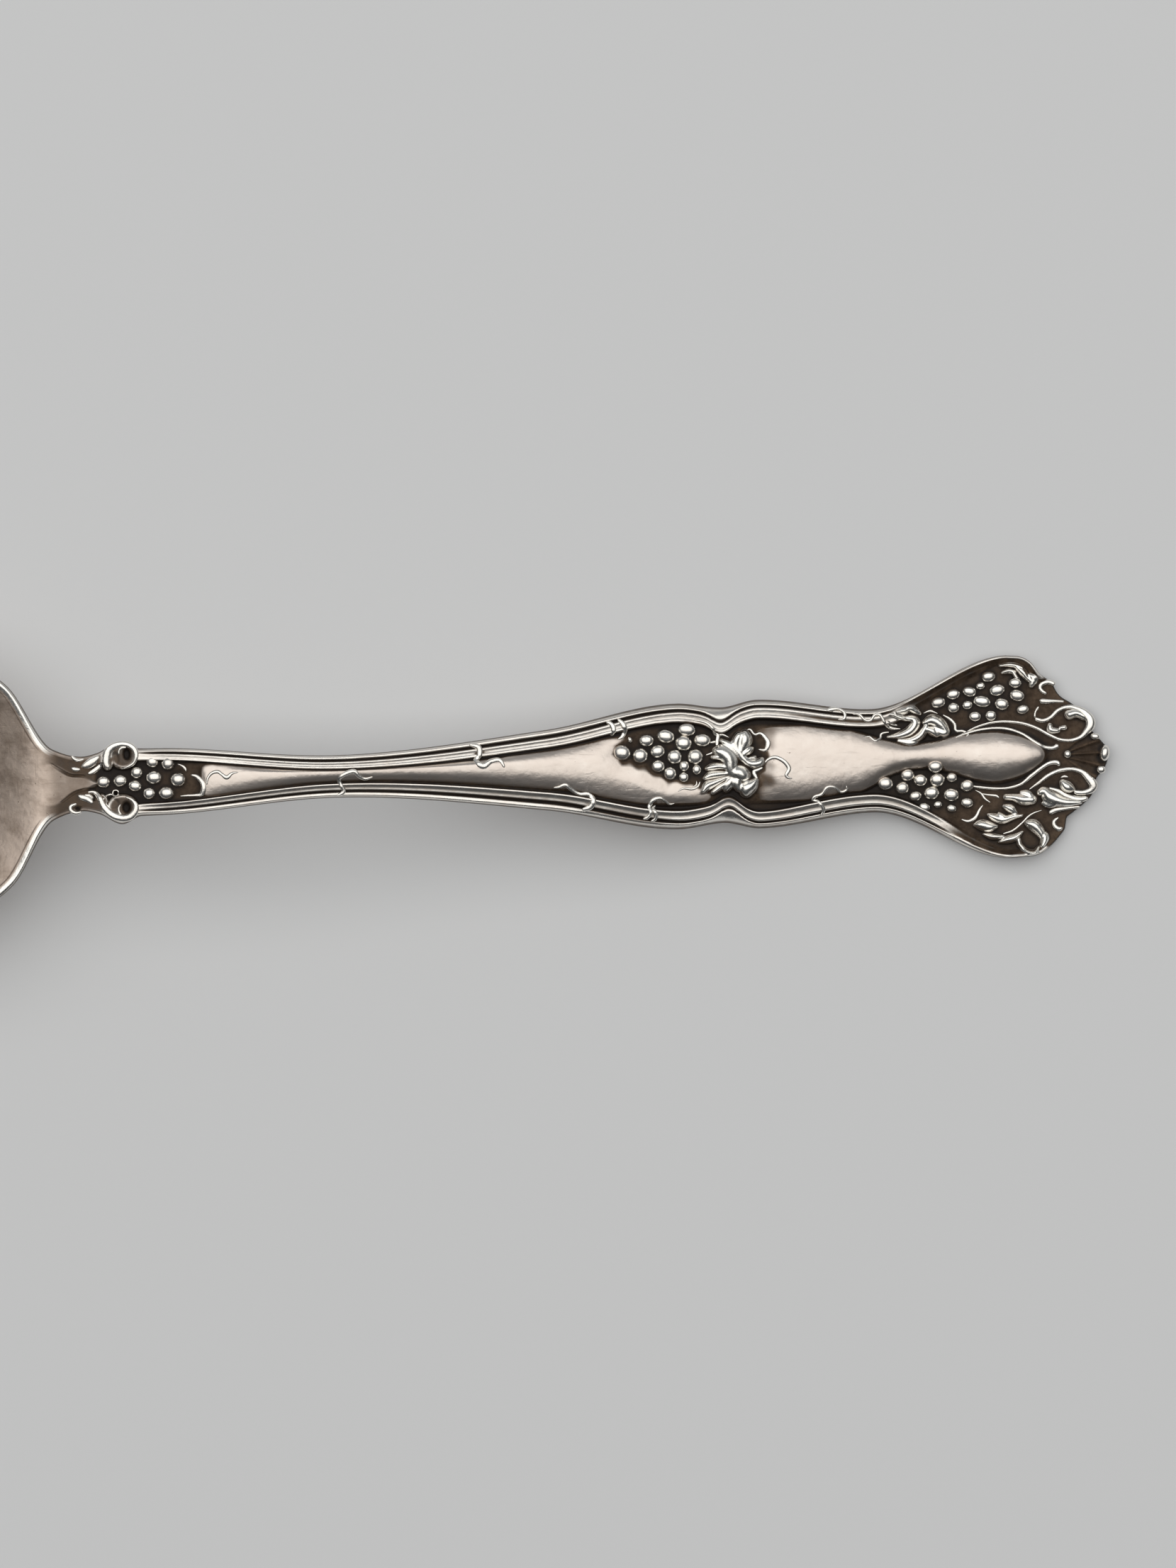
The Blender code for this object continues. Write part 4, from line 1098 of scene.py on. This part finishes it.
def ground_tarnish(s, t, d, out, patina_and_shade, on_rim):
    """The dark ground, the ragged bed of the waist's bunch, and a soft darkening right of it and below it.
    """
    tip = at_tip(s)
    inside = swell((d - 0.35 + 0.65 * tip) / (0.4 - 0.1 * tip))
    ground = swell((-out - 0.12) / 0.25) * inside * (1 - tongue(s, t))
    ragged = np.sin(2.6 * s + 1.9 * t) * np.sin(2.2 * t - 1.4 * s)
    bed = swell(0.5 + (depth_inside(POCKET, s, t) + 0.3 * ragged) / 1.1)
    drift = s + 0.7 * np.sin(1.4 * t + 0.5) + 0.35 * np.sin(3.3 * t + 0.9 * s) + 0.3 * ragged
    darker_past_bed = hump(drift, *DARKER_RIGHT) + hump(s, *DARKER_BELOW) * swell((-1.5 - t) / 2.5)
    # Darker close to the relief: partly tarnish, partly painted shade in the low ground.
    dark = np.maximum(ground, bed) * (1 - on_rim) * (GROUND_DARK + (1 - GROUND_DARK) * patina_and_shade)
    return np.maximum(dark, darker_past_bed * on_field(s, t, d))


def tarnish_and_painted_shade(s, t, d, raised):
    """Tarnish at the neck, volutes and pits; painted shade in the bowl, by the lower rim and on the edges.
    """
    x, band = rim_line_at(s, t, d)
    tip = at_tip(s)
    flare = opening(s, t) * (1 - tip)
    throat = THROAT_DARK + BESIDE_TONGUE * (1 - tongue(s, t))
    throat = throat * swell((s + 5.2) / 3.2) * swell((2.4 - s) / 0.6) * swell((d - 0.15) / 0.3)
    # Painted shade: a dark line just inside the bowl's rim.
    painted_bowl_rim_shade = hump(d, *BEAD) * swell((-s - 3) / 2)
    # Painted shade: the bowl's upper side darker.
    painted_bowl_shade = BOWL_SHADE * swell((t - 0.5) / 5) * swell((-s - 3.5) / 2.5) * swell((d - 0.7) / 0.4)
    # Painted shade: a band just inside the lower rim, on the lower side only.
    painted_lower_rim_shade = band * hump(x, *LOWER_RIM_SHADE) * swell((x - 1.0) / 0.1) * (t < 0) * (1 - raised)
    roll = np.where(s < 0, 0.3, roll_share(s) * rim_width(s) * (1 - flare) + 0.2 * flare)
    # Painted shade: the outer edges darkened all round.
    sides = EDGE_SHADE * swell((0.72 - d / roll) / 0.6) * (1 - tip)
    at_neck = (throat, PIT_DARK * pits(s, t), DISC_DARK * discs(s, t, size=0.95))
    return np.max([*at_neck, painted_bowl_shade, painted_bowl_rim_shade, sides, painted_lower_rim_shade], axis=0)


print("pits as dark as", PIT_DARK, "and the ground at least", GROUND_DARK)


# %% Tarnish, painted shade and haze
BACK_PATINA, BACK_HAZE = 0.05, 0.5
ORNAMENT_HAZE, FIELD_HAZE, RIM_HAZE = 0.12, 0.5, 0.22


def give(piece, name, values):
    layer = piece.data.attributes.new(name, "FLOAT", "POINT")
    layer.data.foreach_set("value", values.astype(np.float32))


def lowness(s, t, z, start, reach):
    """How far a place lies below the metal around it, from 0 to 1."""
    i, j = cell(s, t)
    return swell((0.6 * around_near[i, j] + 0.4 * around_wide[i, j] - (z - level(s)) - start) / reach)


def tarnish_ornament(piece):
    s, t, z = corners_of(piece)
    # Lower flanks of the ornaments darker: partly tarnish, partly painted shade at their feet.
    give(piece, "patina_and_shade", lowness(s, t, z, start=0.08, reach=0.36))
    give(piece, "haze", np.full(s.shape, ORNAMENT_HAZE))


def tarnish_blank(piece):
    s, t, z = corners_of(piece)
    d = from_outline(s, t)
    x, band = rim_line_at(s, t, d)
    raised = swell((relief(s, t) - 0.02) / 0.28)
    on_rim = band * swell((1.0 - x) / 0.1) * swell((s - 56) / 5)
    # Low places are darkened as tarnish and also as painted shade, where shade falls in them.
    low = lowness(s, t, z, start=-0.02, reach=0.22)
    dark = np.maximum(ground_tarnish(s, t, d, z - level(s), low, on_rim), lip_tarnish(s, t, d))
    patina_and_shade = low * np.maximum(swell((d - 0.1) / 0.25), at_tip(s)) * (1 - 0.75 * on_rim) * (1 - 0.30 * raised)
    patina_and_shade = np.maximum(patina_and_shade, dark * (1 - raised) * swell((s + 1.8) / 1.6))
    patina_and_shade = np.maximum(patina_and_shade, rim_tarnish(s, t, d)) * swell((s + 4) / 1.5)
    patina_and_shade = np.clip(np.maximum(patina_and_shade, tarnish_and_painted_shade(s, t, d, raised)), 0, 1)

    on_bowl_rim = swell((0.75 - d) / 0.2) * swell((-s - 2) / 2)
    in_bowl = np.clip(1 - (s - 0.2) / 2.5, 0, 1) * (1 - on_bowl_rim)
    on_handle = swell((s - 2) / 2) * (1 - raised)
    haze = np.max([in_bowl, FIELD_HAZE * on_field(s, t, d) * on_handle, RIM_HAZE * on_handle], axis=0)

    normal = np.empty(3 * len(s))
    piece.data.vertices.foreach_get("normal", normal)
    below = (normal[2::3] < 0) & (d > 0.25)
    give(piece, "patina_and_shade", np.where(below, BACK_PATINA, patina_and_shade))
    give(piece, "haze", np.where(below, BACK_HAZE + 0.2 * haze, haze))


for piece in blank:
    tarnish_blank(piece)
for piece in ornaments:
    tarnish_ornament(piece)
print("patina laid on", len(blank) + len(ornaments), "meshes")

# %% [markdown]
# ## Worn silver plate
#
# Shader sockets can be added and multiplied like numbers once a small class stands for them. The metal is
# warm where it is polished and dull in the bowl, with fine scratches and dents. Towards the hollows it
# turns to brown-black tarnish, which is rough and less metallic. The same brown-black also paints the
# shade that the tarnish attribute carries. One material serves the whole spoon, because the attributes
# already say where each finish belongs.


# %% Sockets that behave like numbers
class Field:
    def __init__(self, tree, socket=None):
        self.tree, self.socket = tree, socket

    def make(self, kind, inputs, out=0, **settings):
        node = self.tree.nodes.new(kind)
        for name, value in settings.items():
            setattr(node, name, value)
        for key, value in inputs.items():
            if isinstance(value, Field):
                self.tree.links.new(value.socket, node.inputs[key])
            else:
                node.inputs[key].default_value = value
        return Field(self.tree, node.outputs[out])

    def maths(self, operation, a, b):
        return self.make("ShaderNodeMath", {0: a, 1: b}, operation=operation)

    def __add__(self, other):
        return self.maths("ADD", self, other)

    def __sub__(self, other):
        return self.maths("SUBTRACT", self, other)

    def __rsub__(self, other):
        return self.maths("SUBTRACT", other, self)

    def __mul__(self, other):
        return self.maths("MULTIPLY", self, other)

    __radd__ = __add__
    __rmul__ = __mul__

    def step(self, low, high):
        ends = {0: self, 1: low, 2: high, 3: 0.0, 4: 1.0}
        return self.make("ShaderNodeMapRange", ends, interpolation_type="SMOOTHSTEP")

    def between(self, a, b):
        return self.make("ShaderNodeMix", {0: self, 6: a, 7: b}, out=2, data_type="RGBA")

    def noise(self, scale, detail, roughness, stretch=(1, 1, 1)):
        stretched = self.make("ShaderNodeMapping", {0: self, 3: stretch})
        inputs = {"Vector": stretched, "Scale": scale, "Detail": detail, "Roughness": roughness}
        return self.make("ShaderNodeTexNoise", inputs)


print("sockets can be added, taken away and multiplied")


# %% Colours of the metal and its tarnish
BRIGHT_SILVER, DULL_SILVER = (0.95, 0.925, 0.87, 1), (0.74, 0.66, 0.595, 1)
PALE_HAZE, BROWN_HAZE = (0.69, 0.575, 0.49, 1), (0.45, 0.36, 0.295, 1)
SPECK = (0.16, 0.115, 0.085, 1)
DARK_BROWN, LIGHT_BROWN, BLACK = (0.046, 0.031, 0.021, 1), (0.13, 0.09, 0.061, 1), (0.014, 0.010, 0.008, 1)
SPECULAR, DENT_STRENGTH, DENT_DEPTH = 0.25, 0.5, 0.00004
print("silver from", BRIGHT_SILVER[:3], "to", DULL_SILVER[:3])


# %% The material
def silver_plate():
    material = bpy.data.materials.new("silver_plate")
    material.use_nodes = True
    tree = material.node_tree
    shader = tree.nodes["Principled BSDF"]
    start = Field(tree)
    where = start.make("ShaderNodeTexCoord", {}, out="Object")
    hollow = start.make("ShaderNodeAttribute", {}, out="Fac", attribute_name="patina_and_shade")
    dull = start.make("ShaderNodeAttribute", {}, out="Fac", attribute_name="haze")

    cloud = where.noise(220, 4, 0.6)
    mottle = where.noise(1100, 4, 0.65)
    fine = where.noise(5200, 2, 0.5)
    scratch = where.noise(2600, 2, 0.5, (0.08, 1, 1)).step(0.62, 0.74)
    cross = where.noise(2300, 2, 0.5, (1, 0.1, 1)).step(0.64, 0.76)
    specks = where.noise(2300, 3, 0.5).step(0.70, 0.76)
    veil = where.noise(420, 5, 0.62, (0.7, 1, 1)).step(0.38, 0.66)
    dents = where.noise(1500, 2, 0.5)

    # The attribute read as hollow holds tarnish and painted shade, so the brown-black below is partly
    # painted shade.
    uneven = hollow + (mottle - 0.5) * 0.35 * hollow
    tarnish_and_shade, black = uneven.step(0.08, 0.58), uneven.step(0.55, 1.0)
    haze = dull + (cloud - 0.5) * 0.45 + (mottle - 0.5) * 0.30
    bright = haze.step(0.0, 0.55).between(BRIGHT_SILVER, DULL_SILVER)
    polished = haze.step(0.5, 1.0).between(bright, veil.between(PALE_HAZE, BROWN_HAZE))
    stained = (specks * (0.15 + dull * 0.6)).between(polished, SPECK)
    tarnish_and_shade_colour = black.between(mottle.step(0.3, 0.75).between(DARK_BROWN, LIGHT_BROWN), BLACK)
    tooth = dents * 1.5 + (mottle * 0.6 + fine * 0.4) * (0.5 + tarnish_and_shade * 1.0) - (scratch + cross) * 0.25
    dented = {"Strength": DENT_STRENGTH, "Distance": DENT_DEPTH, "Height": tooth}
    finish = {
        "Base Color": tarnish_and_shade.between(stained, tarnish_and_shade_colour),
        "Roughness": 0.24 + haze * 0.20 + scratch * 0.08 + cross * 0.06 + specks * 0.10 + tarnish_and_shade * 0.22,
        "Metallic": 1.0 - tarnish_and_shade * 0.25 - black * 0.45,
        "Normal": start.make("ShaderNodeBump", dented),
    }
    for socket, value in finish.items():
        tree.links.new(value.socket, shader.inputs[socket])
    shader.inputs["Specular IOR Level"].default_value = SPECULAR
    return material


silver = silver_plate()
for piece in (*blank, *ornaments):
    piece.data.materials.append(silver)
    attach(piece, "root")
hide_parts("bowl")
for piece in blank[1:]:
    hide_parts("handle")
print("silver on", len(blank) + len(ornaments), "pieces")

# %% [markdown]
# ## Floor, light and camera
#
# Polished metal shows its surroundings, so these stay plain: a pale floor, one broad soft lamp above the
# spoon, and a room that glows a little more above and behind. The camera looks straight down, as the
# photograph does, with the spoon's handle running to the right.

# %% Floor
FLOOR_HALF = 1.5
PAPER, PAPER_ROUGHNESS = (0.82, 0.83, 0.84, 1), 0.8
floor_bm = bmesh.new()
bmesh.ops.create_grid(floor_bm, x_segments=1, y_segments=1, size=FLOOR_HALF)
floor = finish_mesh("floor", floor_bm)
paper = bpy.data.materials.new("paper")
paper.use_nodes = True
paper.node_tree.nodes["Principled BSDF"].inputs["Base Color"].default_value = PAPER
paper.node_tree.nodes["Principled BSDF"].inputs["Roughness"].default_value = PAPER_ROUGHNESS
floor.data.materials.append(paper)

# %% Lamp
LAMP_PLACE = Vector((0, 0.30, 1.10))
LAMP_LENGTH, LAMP_WIDTH, LAMP_POWER = 2.6, 1.7, 14.2
LAMP_COLOUR = (1, 0.98, 0.945)
light = bpy.data.lights.new("overhead", "AREA")
light.shape = "RECTANGLE"
light.size, light.size_y = LAMP_LENGTH, LAMP_WIDTH
light.energy = LAMP_POWER
light.color = LAMP_COLOUR
lamp = bpy.data.objects.new("overhead", light)
lamp.location = LAMP_PLACE
lamp.rotation_euler = (-LAMP_PLACE).to_track_quat("-Z", "Y").to_euler()
bpy.context.scene.collection.objects.link(lamp)
print("lamp", round(LAMP_PLACE.length, 2), "m away")

# %% Room
GLOW, GLOW_ABOVE, GLOW_BEHIND = 0.04, 0.12, 0.20
world = bpy.data.worlds.new("room")
world.use_nodes = True
bpy.context.scene.world = world
room = Field(world.node_tree)
sky = room.make("ShaderNodeTexCoord", {}, out="Generated")
up = sky.make("ShaderNodeSeparateXYZ", {0: sky}, out=2)
away = sky.make("ShaderNodeSeparateXYZ", {0: sky}, out=1)
glow = GLOW + up.step(0.3, 1.0) * GLOW_ABOVE + away.step(-0.3, 0.9) * GLOW_BEHIND
tint = room.make("ShaderNodeCombineColor", {0: glow * 0.96, 1: glow * 0.99, 2: glow * 1.03})
background = world.node_tree.nodes["Background"]
world.node_tree.links.new(tint.socket, background.inputs["Color"])
print("room with", len(world.node_tree.nodes), "nodes")

# %% Camera
SENSOR = 36
camera_data = bpy.data.cameras.new("camera")
camera_data.sensor_fit = "VERTICAL"
camera_data.sensor_height = SENSOR
camera_data.sensor_width = SENSOR
camera_data.lens = SENSOR * (CAMERA_HEIGHT - SHARP_HEIGHT) / (PHOTO_HEIGHT / PIXELS_PER_MM)
camera_data.clip_start = 0.01
camera = bpy.data.objects.new("camera", camera_data)
camera.location = place(CAMERA_S, CAMERA_T, CAMERA_HEIGHT)
camera.rotation_euler = (0, 0, -ROLL)
bpy.context.scene.collection.objects.link(camera)
bpy.context.scene.camera = camera
bpy.context.scene.view_settings.view_transform = "Standard"
print("lens", round(camera_data.lens), "mm")
